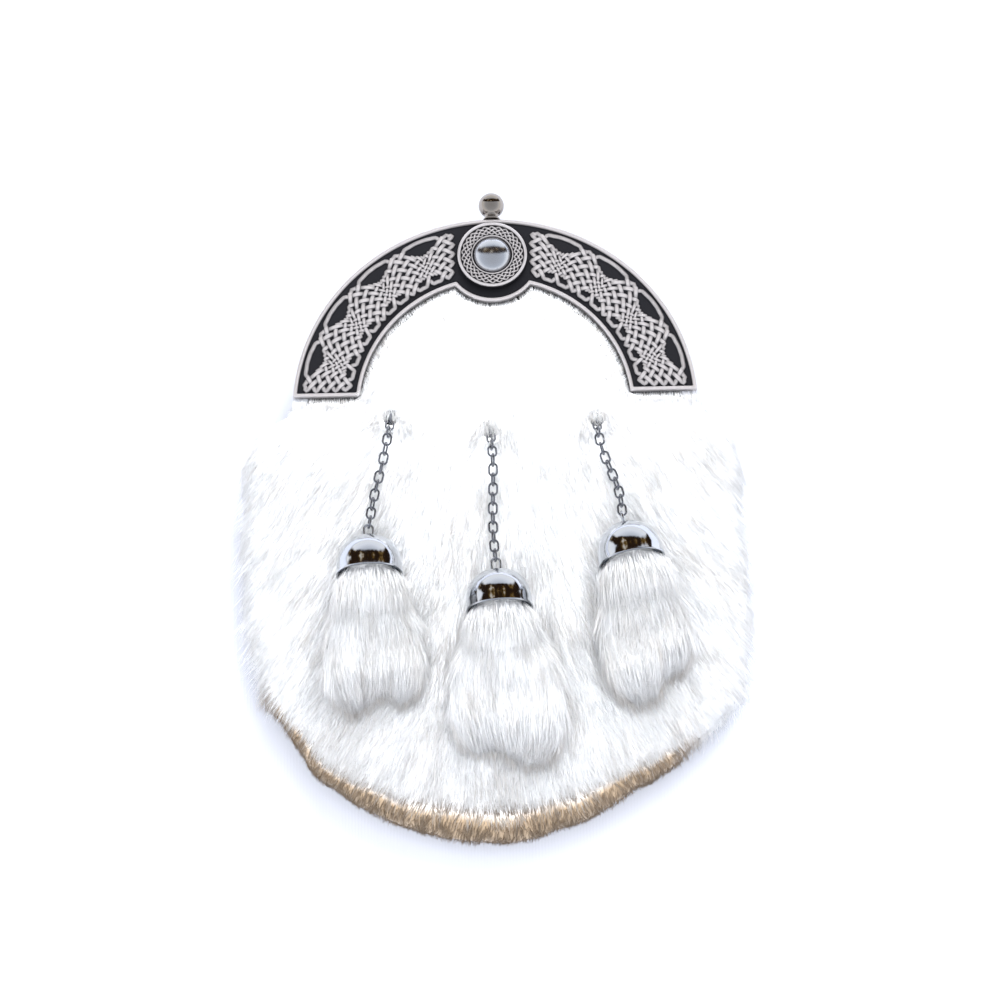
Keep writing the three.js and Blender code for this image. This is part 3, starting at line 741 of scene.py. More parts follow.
def coat_way(at, up, rng, spread):
    """The way the coat is combed: down, fanning out to the sides, parted round each chain."""
    x, y, _ = in_mm(at)
    fan, wander, fall, aside = math.radians(40), math.radians(11), -0.25, 0.9
    angle = fan * np.tanh(x / 58) + wander * ripple(x, y, 11)
    way = np.stack([np.sin(angle), -np.cos(angle), np.full(len(x), fall)], axis=1)
    for rx, ry in ROOTS.values():
        near = np.exp(-((x - rx) ** 2 / 50 + (y - ry) ** 2 / 90)) * fade(y, ry + 3, ry - 1)
        way[:, 0] += np.tanh((x - rx) / 2) * near * aside
    # The hair parts a little left of the middle, just below the boss.
    parting_x = -10
    parting = np.exp(-((x - parting_x) ** 2) / 50) * fade(y, -12, -4) * fade(y, 24, 12)
    way[:, 0] += np.sign(x - parting_x) * parting * aside
    # Beside the frame's inner edge the hair is combed along it and not over it.
    tilt_stretch = 1.01
    reach = np.hypot(x, (y - ARC["y"]) * tilt_stretch)
    beside = fade(reach, 38, 48) * fade(y, 4, 10)
    radial = np.stack([x, y - ARC["y"], np.zeros(len(x))], axis=1) / np.maximum(reach, 1)[:, None]
    outward = np.maximum((way * radial).sum(axis=1), 0)
    way -= radial * (outward * beside)[:, None]
    way += rng.normal(0, spread, way.shape)
    way -= up * (way * up).sum(axis=1)[:, None]
    return unit(way)


def coat_keep(middle, normal):
    """1 where the coat's hair may grow."""
    return np.where(outside("body_fur", middle, normal) > 0.35, 1.0, 0.0)


# Cast frame


# Steps round a quarter of the frame's outline.
OUTLINE_STEPS = 56


def frame_outline(inset, steps):
    """Outline of the half-round frame with its bulge round the boss, drawn in by inset."""
    outer, inner, bulge = ARC["outer"] - inset, ARC["inner"] + inset, BOSS["bulge"] - inset
    start = math.asin((inset - ARC["y"]) / outer)
    points = []
    for k in range(2 * steps + 1):
        a = start + (math.pi - 2 * start) * k / (2 * steps)
        points.append((outer * math.cos(a), ARC["y"] + outer * math.sin(a)))
    rise = BOSS["y"] - ARC["y"]
    meet = math.acos((rise**2 + inner**2 - bulge**2) / (2 * rise * inner))
    foot = math.pi - math.asin((inset - ARC["y"]) / inner)
    left = []
    for k in range(steps // 2 + 1):
        a = foot + (math.pi / 2 + meet - foot) * k / (steps // 2)
        left.append((inner * math.cos(a), ARC["y"] + inner * math.sin(a)))
    turn = math.atan2(left[-1][1] - BOSS["y"], left[-1][0])
    sweep = -math.pi / 2 - turn
    parts = 20
    angles = [turn + 2 * sweep * k / parts for k in range(1, parts)]
    round_boss = [(bulge * math.cos(a), BOSS["y"] + bulge * math.sin(a)) for a in angles]
    return points + left + round_boss + [(-x, y) for x, y in reversed(left)]


def turn_at(node, way, limits, gaps):
    """The way a strand leaves a node of the interlace grid."""
    (i, j), (dx, dy) = node, way
    along, across, ring = limits
    if not ring and i in (0, along):
        dx = -dx
    if j in (0, across):
        dy = -dy
    if (i, j) in gaps:
        dy = -dy
    return dx, dy


def strands(along, across, ring, gaps):
    """Every closed strand of an interlace as its nodes, each with the way it came in."""
    limits = (along, across, ring)
    seen, found = set(), []
    for i in range(along + (0 if ring else 1)):
        for j in range(across + 1):
            if (i + j) % 2 == 0:
                continue
            for way in ((1, 1), (1, -1)):
                node, step, path = (i, j), way, []
                if not ring and i == along or not 0 <= j + way[1] <= across or (node, step) in seen:
                    continue
                while (node, step) not in seen:
                    seen.add((node, step))
                    node = (node[0] + step[0], node[1] + step[1])
                    if ring:
                        node = (node[0] % along, node[1])
                    seen.add((node, (-step[0], -step[1])))
                    path.append((node, step))
                    step = turn_at(node, step, limits, gaps)
                found.append(path)
    return found


def strand_course(path, along, across, ring, gaps, lift):
    """Control points of a strand in grid units with its height: over one, under the next."""
    clear_of_gap, dip_at_border = 0.96, 0.2
    course = []
    for k, (node, step) in enumerate(path):
        (i, j), (dx, dy) = node, step
        border = j in (0, across) or (not ring and i in (0, along))
        after_node, after = path[(k + 1) % len(path)]
        if node in gaps:
            course.append((i, j - clear_of_gap * dy, 0.0))
        elif border:
            course.append((i, j, -dip_at_border * lift))
        else:
            course.append((i, j, lift if (i % 2 == 0) == (dx * dy > 0) else -lift))
        # Between a gap and the border the strand runs straight along the edge.
        if not (node in gaps and after_node[1] in (0, across) or border and after_node in gaps):
            course.append((i + after[0] * 0.5, j + after[1] * 0.5, 0.0))
    return course


def smooth_loop(course, per, period=0):
    """A closed smooth line through the course, per points for each of its steps."""
    p = np.array(course, dtype=float)
    n = len(p)
    if period:
        jumps = np.round(np.diff(p[:, 0], append=p[0, 0]) / period) * period
        p[:, 0] -= np.concatenate([[0], np.cumsum(jumps)[:-1]])
        wrap = -jumps.sum()
    else:
        wrap = 0.0
    offset = np.array([wrap, 0, 0])
    out = []
    for k in range(n):
        a, b, c, d = (p[m % n] + offset * (m // n) for m in range(k - 1, k + 3))
        for s in range(per):
            t = s / per
            bend = (2 * a - 5 * b + 4 * c - d) * t**2 + (3 * b - 3 * c + d - a) * t**3
            out.append(0.5 * (2 * b + (c - a) * t + bend))
    return np.array(out)


def swept(name, lines, section, lift):
    """Closed strands: section holds (across, height, wear and painted light) in metres, a line its points
    and girths.
    """
    verts, faces, wear_and_painted_light = [], [], []
    start, dipped_shade = 0, 0.72
    for line, girth, rise in lines:
        ahead = unit(np.roll(line, -1, axis=0) - np.roll(line, 1, axis=0))
        side = unit(np.cross(ahead, [0, 0, 1.0]))
        n, m = len(line), len(section)
        # A strand is darker where it dips under another, which is painted shade at the crossing, added to
        # the wear of its high parts.
        rubbed = dipped_shade + (1 - dipped_shade) * rise / lift
        for across, height, w in section:
            verts.append(line + side * (across * girth)[:, None] + np.array([0, 0, height]))
            wear_and_painted_light.append(w * rubbed)
        for s in range(m):
            a = start + s * n + np.arange(n)
            b = start + ((s + 1) % m) * n + np.arange(n)
            faces.append(np.stack([a, np.roll(a, -1), np.roll(b, -1), b], axis=1))
        start += n * m
    obj = mesh_object(name, np.concatenate(verts), np.concatenate(faces))
    attribute(obj, "wear_and_painted_light", np.concatenate(wear_and_painted_light))
    return obj


def strand_section(wide, high):
    """A strand's cross section: a round back, bright at the top and black down its sides. This is partly
    wear and darkened hollows, and partly painted highlight and shade of its roundness.
    """
    return [
        (-0.5 * wide, -0.9 * high, 0.0),
        (-0.5 * wide, -0.15 * high, 0.0),
        (-0.4 * wide, 0.2 * high, 0.6),
        (-0.12 * wide, 0.5 * high, 1.0),
        (0.28 * wide, 0.4 * high, 0.85),
        (0.5 * wide, -0.15 * high, 0.0),
        (0.5 * wide, -0.9 * high, 0.0),
    ]


def knot_gaps():
    """Breaks that part each unit's long outer arc, and two short inner ones, from its core."""
    rows = ((-2, KNOT["across"] - 1), (0, KNOT["across"] - 1), (2, KNOT["across"] - 1), (-2, 1), (2, 1))
    middles = range(KNOT["first"], KNOT["along"], KNOT["unit"])
    return {(middle + di, j) for middle in middles for di, j in rows}


def knot_place(points, side):
    """Grid units of the frame's panel turned into its plane, drawn tight in the core of each unit."""
    i, j, z = points.T
    phase = (i - KNOT["first"]) / KNOT["unit"] * 2 * math.pi
    core = np.where((i < 1) | (i > KNOT["along"] - 1), 0, 0.5 + 0.5 * np.cos(phase))
    upper = fade(j, 1.5, 6.5) * fade(j, 9.7, 8.9)
    lower = fade(j, 8.5, 3.5) * fade(j, 0.3, 1.2)
    middle = fade(j, 0.2, 2.2) * fade(j, 9.6, 7.6)
    arch = fade(j, 9.3, 9.6) * (1 - core)
    drawn_in, drawn_out, arch_sunk, squeezed, thinned = 1.9, 0.5, 0.45, 0.62, 0.4
    j = j - drawn_in * core * upper + drawn_out * core * lower - arch_sunk * arch
    i = i - squeezed * np.sin(phase) * middle
    r = KNOT["inner"] + (KNOT["outer"] - KNOT["inner"]) * j / KNOT["across"]
    start, stop = np.arcsin(KNOT["low"] / r), np.arccos(KNOT["beside"] / r)
    a = start + (stop - start) * i / KNOT["along"]
    line = np.stack([side * r * np.cos(a) * MM, (ARC["y"] + r * np.sin(a)) * MM, z], axis=1)
    return line, 1 - thinned * core * middle, z


def frame_plate(name, levels):
    """The frame's plate, from its outline drawn in by inset at each height of the levels."""
    rings = []
    for inset, z in levels:
        rings.append([(x * MM, y * MM, z * MM) for x, y in frame_outline(inset, OUTLINE_STEPS)])
    return lofted(name, rings)


class SPORRAN_OT_frame(bpy.types.Operator):
    """Casts the half-round frame: ground, rim and two mirrored panels of interlace"""

    bl_idname = "sporran.frame"
    bl_label = "Cast frame"

    def execute(self, context):
        ground, high = 1.7, 3.2
        rim_wide, rim_foot = 1.15, 1.6
        levels = ((0, 0), (0, high), (rim_wide, high), (rim_foot, ground))
        plate = frame_plate("frame_plate", levels)
        bevel = plate.modifiers.new("worn edge", "BEVEL")
        bevel.width = 0.35 * MM
        bevel.segments = 2
        bevel.limit_method = "ANGLE"
        bevel.angle_limit = math.radians(50)
        apply_modifiers(plate)
        co, _ = points_and_normals(plate.data)
        # The rim's top is coloured bright and the ground dark. The dark is the pewter's own darkening; the
        # bright is partly wear and partly a painted highlight.
        rim = fade(co[:, 2] / MM, ground + 0.3, ground + 1.1)
        underside_worn = 0.6
        attribute(plate, "wear_and_painted_light", np.where(co[:, 2] < 1 * MM, underside_worn, rim))

        gaps, lift = knot_gaps(), 0.26 * MM
        section = strand_section(sizes().strand_wide, sizes().strand_high)
        lines = []
        for side in (1, -1):
            for path in strands(KNOT["along"], KNOT["across"], False, gaps):
                course = strand_course(path, KNOT["along"], KNOT["across"], False, gaps, lift)
                line, girth, rise = knot_place(smooth_loop(course, 2), side)
                lines.append((line + np.array([0, 0, (ground + 0.5) * MM]), girth, rise))
        net = swept("frame_net", lines, section, lift)
        cantle = join("cantle_cast", [plate, net])
        moved(sealed(cantle), LAY)
        finished(cantle, cast_material(), ["cantle"], 45)
        return {"FINISHED"}


class SPORRAN_OT_boss(bpy.types.Operator):
    """Turns the boss: a bright rim, a fine plait round a groove, and a polished dome"""

    bl_idname = "sporran.boss"
    bl_label = "Boss"

    def execute(self, context):
        seat = BOSS["seat"]
        profile = [(7.5, 0), (13.2, 0), (13.25, 1.4), (13.1, 2.2), (12.6, 2.5), (12.1, 2.2), (11.9, 1.3)]
        profile += [(8.0, 1.3), (7.9, 1.9), (7.65, 2.0), (7.5, 1.8)]
        ring = spun("boss_base", [(r, z + seat) for r, z in profile], 96, closed=True)
        co, _ = points_and_normals(ring.data)
        bright_above, plait_high = (seat + 1.75) * MM, (seat + 1.6) * MM
        # The ring's top is coloured bright, partly wear and partly a painted highlight.
        attribute(ring, "wear_and_painted_light", np.where(co[:, 2] > bright_above, 1.0, 0.0))
        along, across, lift = PLAIT["along"], PLAIT["across"], PLAIT["lift"] * MM
        lines = []
        for path in strands(along, across, True, set()):
            course = strand_course(path, along, across, True, set(), lift)
            i, j, z = smooth_loop(course, 2, along).T
            r = (PLAIT["inner"] + (PLAIT["outer"] - PLAIT["inner"]) * j / across) * MM
            a = i / along * 2 * math.pi
            line = np.stack([r * np.cos(a), r * np.sin(a), z + plait_high], axis=1)
            lines.append((line, np.ones(len(line)), z))
        section = strand_section(PLAIT["wide"] * MM, PLAIT["high"] * MM)
        plait = swept("boss_plait", lines, section, lift)
        boss = join("boss_ring_cast", [ring, plait])
        moved(sealed(boss), LAY @ Matrix.Translation((0, BOSS["y"] * MM, 0)))
        finished(boss, bpy.data.materials["darkened_pewter"], ["boss_ring"], 45)

        radius, springing, rise, parts = 7.1, 0.9, 4.3, 14
        dome_profile = [(0, 0), (7.05, 0), (radius, 0.6), (7.05, 1.2)]
        for k in range(1, parts):
            a = math.radians(8 + 82 * k / parts)
            dome_profile.append((radius * math.cos(a), springing + rise * math.sin(a)))
        dome_profile.append((0, springing + rise))
        dome = spun("boss_dome_polished", [(r, z + seat) for r, z in dome_profile], 64)
        moved(dome, LAY @ Matrix.Translation((0, BOSS["y"] * MM, 0)))
        metal = plate_material("polished_boss", 0.16, 0.08, colours().chrome)
        finished(dome, metal, ["boss_dome"], 60)
        return {"FINISHED"}


class SPORRAN_OT_ball(bpy.types.Operator):
    """Turns the small ball and neck above the frame"""

    bl_idname = "sporran.ball"
    bl_label = "Ball"

    def execute(self, context):
        base, middle, r = ARC["outer"] + ARC["y"] + 0.3, 76.7, 4.9
        parts = 24
        profile = [(0, base), (3.1, base), (3.2, base + 0.4), (2.5, base + 0.9)]
        for k in range(parts):
            a = math.radians(-58 + 148 * k / parts)
            profile.append((r * math.cos(a), middle + r * math.sin(a)))
        profile.append((0, middle + r))
        ball = spun("ball_polished", profile, 48)
        in_plate = Matrix.Translation((0, 0, 1.6 * MM))
        moved(ball, LAY @ in_plate @ Matrix.Rotation(-math.pi / 2, 4, "X"))
        metal = plate_material("polished_ball", 0.1, 0.1, colours().ball)
        finished(ball, metal, ["ball_finial"], 60)
        return {"FINISHED"}


def bell_frame(bell):
    """Origin at the top of the bell and Z towards its mouth."""
    top = Vector(bell["top"]) * MM + Vector(ORIGIN)
    mouth = Vector(bell["mouth"]) * MM + Vector(ORIGIN)
    axis = (mouth - top).normalized()
    across = Vector((axis.y, -axis.x, 0)).normalized()
    up = axis.cross(across)
    turned = Matrix((across, up, axis)).transposed().to_4x4()
    return Matrix.Translation(top) @ turned


def wire_ring(name, long, wide, wire, rounds, sides):
    """A ring of wire with straight sides, lying in XY, its length along X."""
    bpy.ops.object.select_all(action="DESELECT")
    bpy.ops.mesh.primitive_torus_add(
        major_segments=rounds,
        minor_segments=sides,
        major_radius=(wide - wire) / 2,
        minor_radius=wire / 2,
    )
    ring = bpy.context.object
    ring.name = name
    stretch, off_middle = (long - wide) / 2, 0.01 * MM
    for way in (1, -1):
        bpy.ops.object.mode_set(mode="EDIT")
        bpy.ops.mesh.select_all(action="DESELECT")
        bpy.ops.object.mode_set(mode="OBJECT")
        for vertex in ring.data.vertices:
            vertex.select = vertex.co.x * way > off_middle
        bpy.ops.object.mode_set(mode="EDIT")
        bpy.ops.transform.translate(value=(stretch * way, 0, 0))
        bpy.ops.object.mode_set(mode="OBJECT")
    return ring


class SPORRAN_OT_bells(bpy.types.Operator):
    """Spins the three open bells with their eyes"""

    bl_idname = "sporran.bells"
    bl_label = "Bells"

    def execute(self, context):
        outer = [(0, 0), (2.4, 0.15), (4.6, 0.7), (6.8, 1.75), (8.6, 3.1), (10.1, 4.9), (11.1, 7.0)]
        outer += [(11.75, 9.4), (12.0, 11.8), (12.05, 14.0)]
        rim = [(12.15, 14.4), (12.18, 14.8), (12.05, 15.0), (11.4, 15.0), (11.25, 14.6)]
        inner = [(11.2, 11.8), (10.8, 9.2), (10.1, 7.0), (9.1, 5.4), (7.6, 3.9), (5.8, 2.5)]
        inner += [(3.4, 1.5), (0, 1.1)]
        collar_profile = [(0, -0.4), (1.3, -0.35), (1.9, 0.1), (2.3, 0.5), (0, 0.9)]
        eye_long, eye_wide, eye_wire, eye_up = 5.9 * MM, 4.3 * MM, 0.95 * MM, 2.0 * MM
        metal = plate_material("plated_bell", 0.05, 0.06, colours().chrome)
        for side, bell in BELLS.items():
            dome = spun(f"dome_{side}", outer + rim + inner, 72)
            eye = wire_ring(f"eye_{side}", eye_long, eye_wide, eye_wire, 32, 12)
            if bell["level"]:
                moved(eye, Matrix.Rotation(math.pi / 2, 4, "X"))
            moved(eye, Matrix.Translation((0, 0, -eye_up)) @ Matrix.Rotation(math.pi / 2, 4, "Y"))
            collar = spun(f"collar_{side}", collar_profile, 32)
            piece = join(f"bell_{side}_plated", [dome, eye, collar])
            moved(piece, bell_frame(bell))
            finished(piece, metal, [f"bell_{side}"], 50)
        return {"FINISHED"}


def lie_of(node):
    """Middle, length axis and width axis of a ring of wire, from its solid."""
    co, _ = points_and_normals(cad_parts[node].data)
    middle = co.mean(axis=0)
    _, _, axes = np.linalg.svd(co - middle, full_matrices=False)
    x, y = Vector(axes[0]), Vector(axes[1])
    turned = Matrix((x, y, x.cross(y))).transposed().to_4x4()
    return Matrix.Translation(Vector(middle)) @ turned


class SPORRAN_OT_chains(bpy.types.Operator):
    """Bends one link of wire and hangs copies of it along the three chains"""

    bl_idname = "sporran.chains"
    bl_label = "Chains"

    def execute(self, context):
        metal = plate_material("plated_wire", 0.2, 0.12, colours().wire)
        link_long, link_wide = 5.4 * MM, 3.75 * MM
        model = wire_ring("link_model", link_long, link_wide, sizes().wire, 26, 9)
        for side in BELLS:
            names = sorted(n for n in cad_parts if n.startswith(f"chain_{side}_link"))
            links = []
            for index, name in enumerate(names):
                link = bpy.data.objects.new(name + "_wire", model.data.copy())
                bpy.context.scene.collection.objects.link(link)
                # The chain lies with a slight twist, so no link is quite flat or quite on edge.
                twist = math.radians(-16 if index % 2 else 9)
                links.append(moved(link, lie_of(name) @ Matrix.Rotation(twist, 4, "X")))
            finished(join(f"chain_{side}_wire", links), metal, names, 60)
        bpy.data.objects.remove(model)
        for side in BELLS:
            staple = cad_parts[f"staple_{side}"]
            staple.data.materials.clear()
            staple.data.materials.append(metal)
        return {"FINISHED"}


class SPORRAN_OT_coat(bpy.types.Operator):
    """Grows the long fur of the pouch over its soft underwool"""

    bl_idname = "sporran.coat"
    bl_label = "Body fur"

    # Name, hairs, length and width shares, rise from the skin, droop, clumps, bends and straying.
    layers = (
        ("coat_wool_a", 24500, 0.62, 1.15, 0.26, 0.05, (0.06, 0.35), 1, 0.20),
        ("coat_wool_b", 24500, 0.75, 1.05, 0.22, 0.06, (0.05, 0.35), 1, 0.16),
        ("coat_guard_hair", 11600, 1.05, 0.8, 0.2, 0.08, (0.03, 0.4), 2, 0.13),
    )

    def execute(self, context):
        skin = skin_under("body_fur", "coat_underwool", 2.1 * MM, 2.6 * MM, 14)
        join("coat_underwool", [skin] + [self.tuft(root) for root in ROOTS.values()])
        finished(skin, underfur_material(), ["body_fur"], 180)
        fur = fur_material("white_coat_fur")
        for index, layer in enumerate(self.layers):
            self.grow(skin, fur, layer, np.random.default_rng(40 + index))
        self.roots(skin, fur)
        self.fringe(fur)
        self.stray(fur)
        return {"FINISHED"}

    def tuft(self, root):
        """A ring of wool round a chain's root, so that its pit isn't bare."""
        bpy.ops.object.select_all(action="DESELECT")
        bpy.ops.mesh.primitive_torus_add(
            major_segments=28,
            minor_segments=10,
            major_radius=4.3 * MM,
            minor_radius=1.4 * MM,
            location=(CHORD.x + root[0] * MM, CHORD.y + root[1] * MM, 38.4 * MM),
        )
        bpy.ops.object.transform_apply(location=True)
        return bpy.context.object

    def grow(self, skin, fur, layer, rng):
        """One layer of the coat: shorter at the top, the sides and the sheared wall round the foot."""
        name, count, length, width, rise, droop, clump, bends, stray = layer
        long, wide = sizes().hair_long, sizes().hair_wide
        at, up = scattered(skin, count, coat_keep, rng)
        way = coat_way(at, up, rng, stray)
        _, y, _ = in_mm(at)
        hair = long * length * (0.75 + 0.5 * rng.random(count))
        # On the wall round the foot the hair is cut short and painted tan as the shade under the hem.
        shade = hem_shade(at, up)
        upper = fade(y, -16, -2)
        side = fade(up[:, 2], 0.8, 0.3)
        at_top, at_side, at_foot = 0.45, 0.35, 0.45
        hair *= (1 - at_top * upper) * (1 - at_side * side) * (1 - at_foot * shade)
        # Round the foot the coat is trimmed along its edge, so the sheared wall shows below it.
        trimmed = fade(-y, 92, 112) * fade(up[:, 2], 0.45, 0.65)
        room = np.maximum(hem_room(skin, at), 0) + (3.4 + 3.4 * rng.random(count)) * MM
        hair = np.minimum(hair, room + (1 - trimmed) * long)
        sheared = (3.6 + 1.8 * rng.random(count)) * MM
        hair = np.minimum(hair, sheared + (1 - shade) * long)
        girth = wide * width * (0.7 + 0.6 * rng.random(count))
        steeper = 0.12
        lift = rise + steeper * shade + steeper * trimmed
        grown = hairs(name, at, up, way, hair, girth, lift, droop, clump, rng, bends, shade)
        finished(grown, fur, ["body_fur"], 180)

    def roots(self, skin, fur):
        """Hairs from above each chain's root that fall over its staple and leave a thin parting."""
        for index, (side, (rx, ry)) in enumerate(ROOTS.items()):

            def above(middle, normal, rx=rx, ry=ry):
                x, y, _ = in_mm(middle)
                beside, over = np.abs(x - rx) < 5, (y - ry > -3.5) & (y - ry < 6)
                return np.where(beside & over & (normal[:, 2] > 0.3), 1.0, 0.0)

            count, rng = 420, np.random.default_rng(70 + index)
            at, up = scattered(skin, count, above, rng)
            x, _, _ = in_mm(at)
            lean = np.clip((x - rx) / 9, -0.5, 0.5)
            way = np.stack([lean, np.full(count, -1.0), np.zeros(count)], axis=1)
            way = unit(way + rng.normal(0, 0.12, (count, 3)))
            hair = (5 + 3 * rng.random(count)) * MM
            girth = sizes().hair_wide * (0.9 + 0.5 * rng.random(count))
            name = f"coat_root_hair_{side}"
            grown = hairs(name, at, up, way, hair, girth, 0.26, 0.04, (0.08, 0.2), rng, 1)
            finished(grown, fur, ["body_fur"], 180)

    def fringe(self, fur):
        """Short fur pressed out from under the frame all along its inner and lower edges."""
        count, rng = 3200, np.random.default_rng(19)
        inner = np.array(frame_outline(0, OUTLINE_STEPS)[2 * OUTLINE_STEPS + 1 :])
        line = np.concatenate([[[-ARC["outer"], 0.0]], inner, [[ARC["outer"], 0.0]]])
        total = np.concatenate([[0], np.cumsum(np.linalg.norm(np.diff(line, axis=0), axis=1))])
        place = rng.random(count) * total[-1]
        spot = np.stack([np.interp(place, total, line[:, k]) for k in range(2)], axis=1)
        ahead = np.stack([np.interp(place + 0.5, total, line[:, k]) for k in range(2)], axis=1) - spot
        away = unit(np.stack([ahead[:, 1], -ahead[:, 0]], axis=1))
        under_edge = 0.35
        spot = spot - away * under_edge
        turn = np.array(LAY.to_3x3())
        height = 0.3 + 1.6 * rng.random(count)
        at = np.column_stack([spot, height]) * MM @ turn.T + np.array(LAY.translation)
        way = np.column_stack([away * 0.7 + [0, -0.5], np.zeros(count)])
        way = unit(way + rng.normal(0, 0.2, (count, 3)))
        up = np.tile(turn @ [0, 0, 1.0], (count, 1))
        hair = (4.5 + 3.5 * rng.random(count)) * MM
        girth = sizes().hair_wide * (0.8 + 0.4 * rng.random(count))
        grown = hairs("coat_fringe", at, up, way, hair, girth, 0.3, 0.12, (0.1, 0.3), rng, 1)
        finished(grown, fur, ["body_fur"], 180)

    def stray(self, fur):
        """A few hairs that fall over the frame's inner corner on the left."""
        count, rng = 90, np.random.default_rng(5)
        along = rng.random(count)
        x = CHORD.x - (46.5 - 3 * along) * MM
        y = CHORD.y + (7 * along - 2) * MM
        on_frame = 39.5 * MM
        at = np.stack([x, y, np.full(count, on_frame)], axis=1)
        at[:, :2] += rng.normal(0, 0.7 * MM, (count, 2))
        up = np.tile([0, 0, 1.0], (count, 1))
        way = unit(np.array([-0.75, -0.66, 0.0]) + rng.normal(0, 0.14, (count, 3)) * [1, 1, 0])
        hair = (7 + 6 * rng.random(count)) * MM
        girth = sizes().hair_wide * (0.6 + 0.3 * rng.random(count))
        grown = hairs("coat_stray_hair", at, up, way, hair, girth, 0.28, 0.03, (0.1, 0.2), rng, 2)
        finished(grown, fur, ["body_fur"], 180)


class SPORRAN_OT_tassels(bpy.types.Operator):
    """Grows the three tassels out of their bells"""

    bl_idname = "sporran.tassels"
    bl_label = "Tassels"

    # Letter, hairs, length and width shares, rise from the skin and bends.
    layers = (
        ("a", 8200, 0.7, 0.9, 0.17, 1),
        ("b", 3400, 1.0, 0.75, 0.13, 2),
    )

    def execute(self, context):
        fur = fur_material("white_tassel_fur")
        for index, (side, bell) in enumerate(BELLS.items()):
            mouth = np.array(bell["mouth"]) * MM + ORIGIN
            tip = np.array([*TIPS[side], TIP_HIGH]) * MM + ORIGIN
            axis = (tip - mouth) / np.linalg.norm(tip - mouth)
            skin = self.wool(side, mouth, axis)
            for number, layer in enumerate(self.layers):
                rng = np.random.default_rng(90 + 10 * index + number)
                self.grow(skin, fur, side, layer, mouth, axis, rng, 31 + index)
            self.ruff(side, bell, mouth, axis, fur)
        return {"FINISHED"}

    def wool(self, side, mouth, axis):
        """The tassel's wool, drawn in at the bell's mouth and shortened to leave room for the tips."""
        node = f"tassel_fur_{side}"
        skin = skin_under(node, f"tassel_{side}_underwool", 1.5 * MM, 1.2 * MM, 16)
        co, _ = points_and_normals(skin.data)
        ahead = (co - mouth) @ axis
        radial = co - mouth - np.outer(ahead, axis)
        far = np.linalg.norm(radial, axis=1)
        ahead = np.maximum(ahead, 0)
        neck, opening, shortened = 8.2 * MM, 0.55, 0.19 if side == "right" else 0.13
        over = np.maximum(far - neck - opening * ahead, 0) * np.clip(1.4 - ahead / (9 * MM), 0, 1)
        co -= radial * (over / np.maximum(far, MM))[:, None]
        co -= np.outer(ahead * shortened, axis)
        set_points(skin.data, co)
        return finished(skin, bpy.data.materials["underfur_wool"], [node], 180)

    def grow(self, skin, fur, side, layer, mouth, axis, rng, seed):
        """One layer of a tassel's hair, combed from the mouth to the tip."""
        letter, count, length, width, rise, bends = layer
        long, wide = sizes().tassel_long, sizes().hair_wide

        def free(middle, normal):
            return np.where(((middle - mouth) * axis).sum(axis=1) > 0.6 * MM, 1.0, 0.0)

        at, up = scattered(skin, count, free, rng)
        s = ((at - mouth) * axis).sum(axis=1)
        radial = at - mouth - axis * s[:, None]
        spread = np.clip(1 - s / (22 * MM), -0.2, 1)
        way = axis + radial / (12 * MM) * (0.5 * spread)[:, None]
        x, y, _ = in_mm(at)
        turn = 0.12 * ripple(x, y, seed)
        way = way + np.cross(way, [0, 0, 1.0]) * turn[:, None] + rng.normal(0, 0.07, way.shape)
        way = unit(way - up * (way * up).sum(axis=1)[:, None])
        hair = long * length * (0.7 + 0.5 * rng.random(count))
        left = reach_of(skin, at, mouth, axis) - s
        hair = np.minimum(hair, left * 0.9 + (4.6 + 4 * rng.random(count)) * MM)
        # Near the tassel's end, on its faces turned downward, the hair is painted warm as shade.
        shade = 0.25 * np.clip(1 - left / (9 * MM), 0, 1) * np.clip(0.5 - up[:, 2], 0, 1)
        girth = wide * width * (0.7 + 0.6 * rng.random(count))
        name = f"tassel_{side}_hair_{letter}"
        grown = hairs(name, at, up, way, hair, girth, rise, 0.08, (0.05, 0.3), rng, bends, shade)
        finished(grown, fur, [f"tassel_fur_{side}"], 180)

    def ruff(self, side, bell, mouth, axis, fur):
        """The thick ring of hair that fills the bell's mouth and spreads from it."""
        count, rng = 3800, np.random.default_rng(len(side) + 7)
        out = np.array(bell["mouth"]) - np.array(bell["top"])
        out /= np.linalg.norm(out)
        across = np.cross(out, [0, 0, 1.0])
        across /= np.linalg.norm(across)
        over = np.cross(across, out)
        turn = rng.random(count) * 2 * math.pi
        up = across * np.cos(turn)[:, None] + over * np.sin(turn)[:, None]
        radius = (8.2 + 2.9 * np.sqrt(rng.random(count))) * MM
        deep = (rng.random(count) * 4.0 - 1.6) * MM
        at = mouth + up * radius[:, None] + out * deep[:, None]
        way = unit(np.tile(axis * 0.7 + out * 0.3, (count, 1)) + rng.normal(0, 0.1, (count, 3)))
        hair = (8 + 16 * rng.random(count) ** 1.5) * MM
        girth = sizes().hair_wide * (0.8 + 0.5 * rng.random(count))
        rise = (3.6 + 2.4 * rng.random(count)) * MM / hair
        grown = hairs(f"tassel_{side}_ruff", at, up, way, hair, girth, rise, 0.0, (0.15, 0.15), rng, 1)
        finished(grown, fur, [f"tassel_fur_{side}"], 180)


def reach_of(skin, at, mouth, axis):
    """How far along the axis the tassel goes on at each hair's own distance from its middle line."""
    bins, step = 64, 2 * MM
    across = np.cross(axis, [0, 0, 1.0])
    co, _ = points_and_normals(skin.data)
    place = np.round((co - mouth) @ across / step).astype(int) + bins // 2
    ends = np.zeros(bins)
    np.maximum.at(ends, np.clip(place, 0, bins - 1), (co - mouth) @ axis)
    return np.interp((at - mouth) @ across / step + bins // 2, np.arange(bins), ends)


# Leather


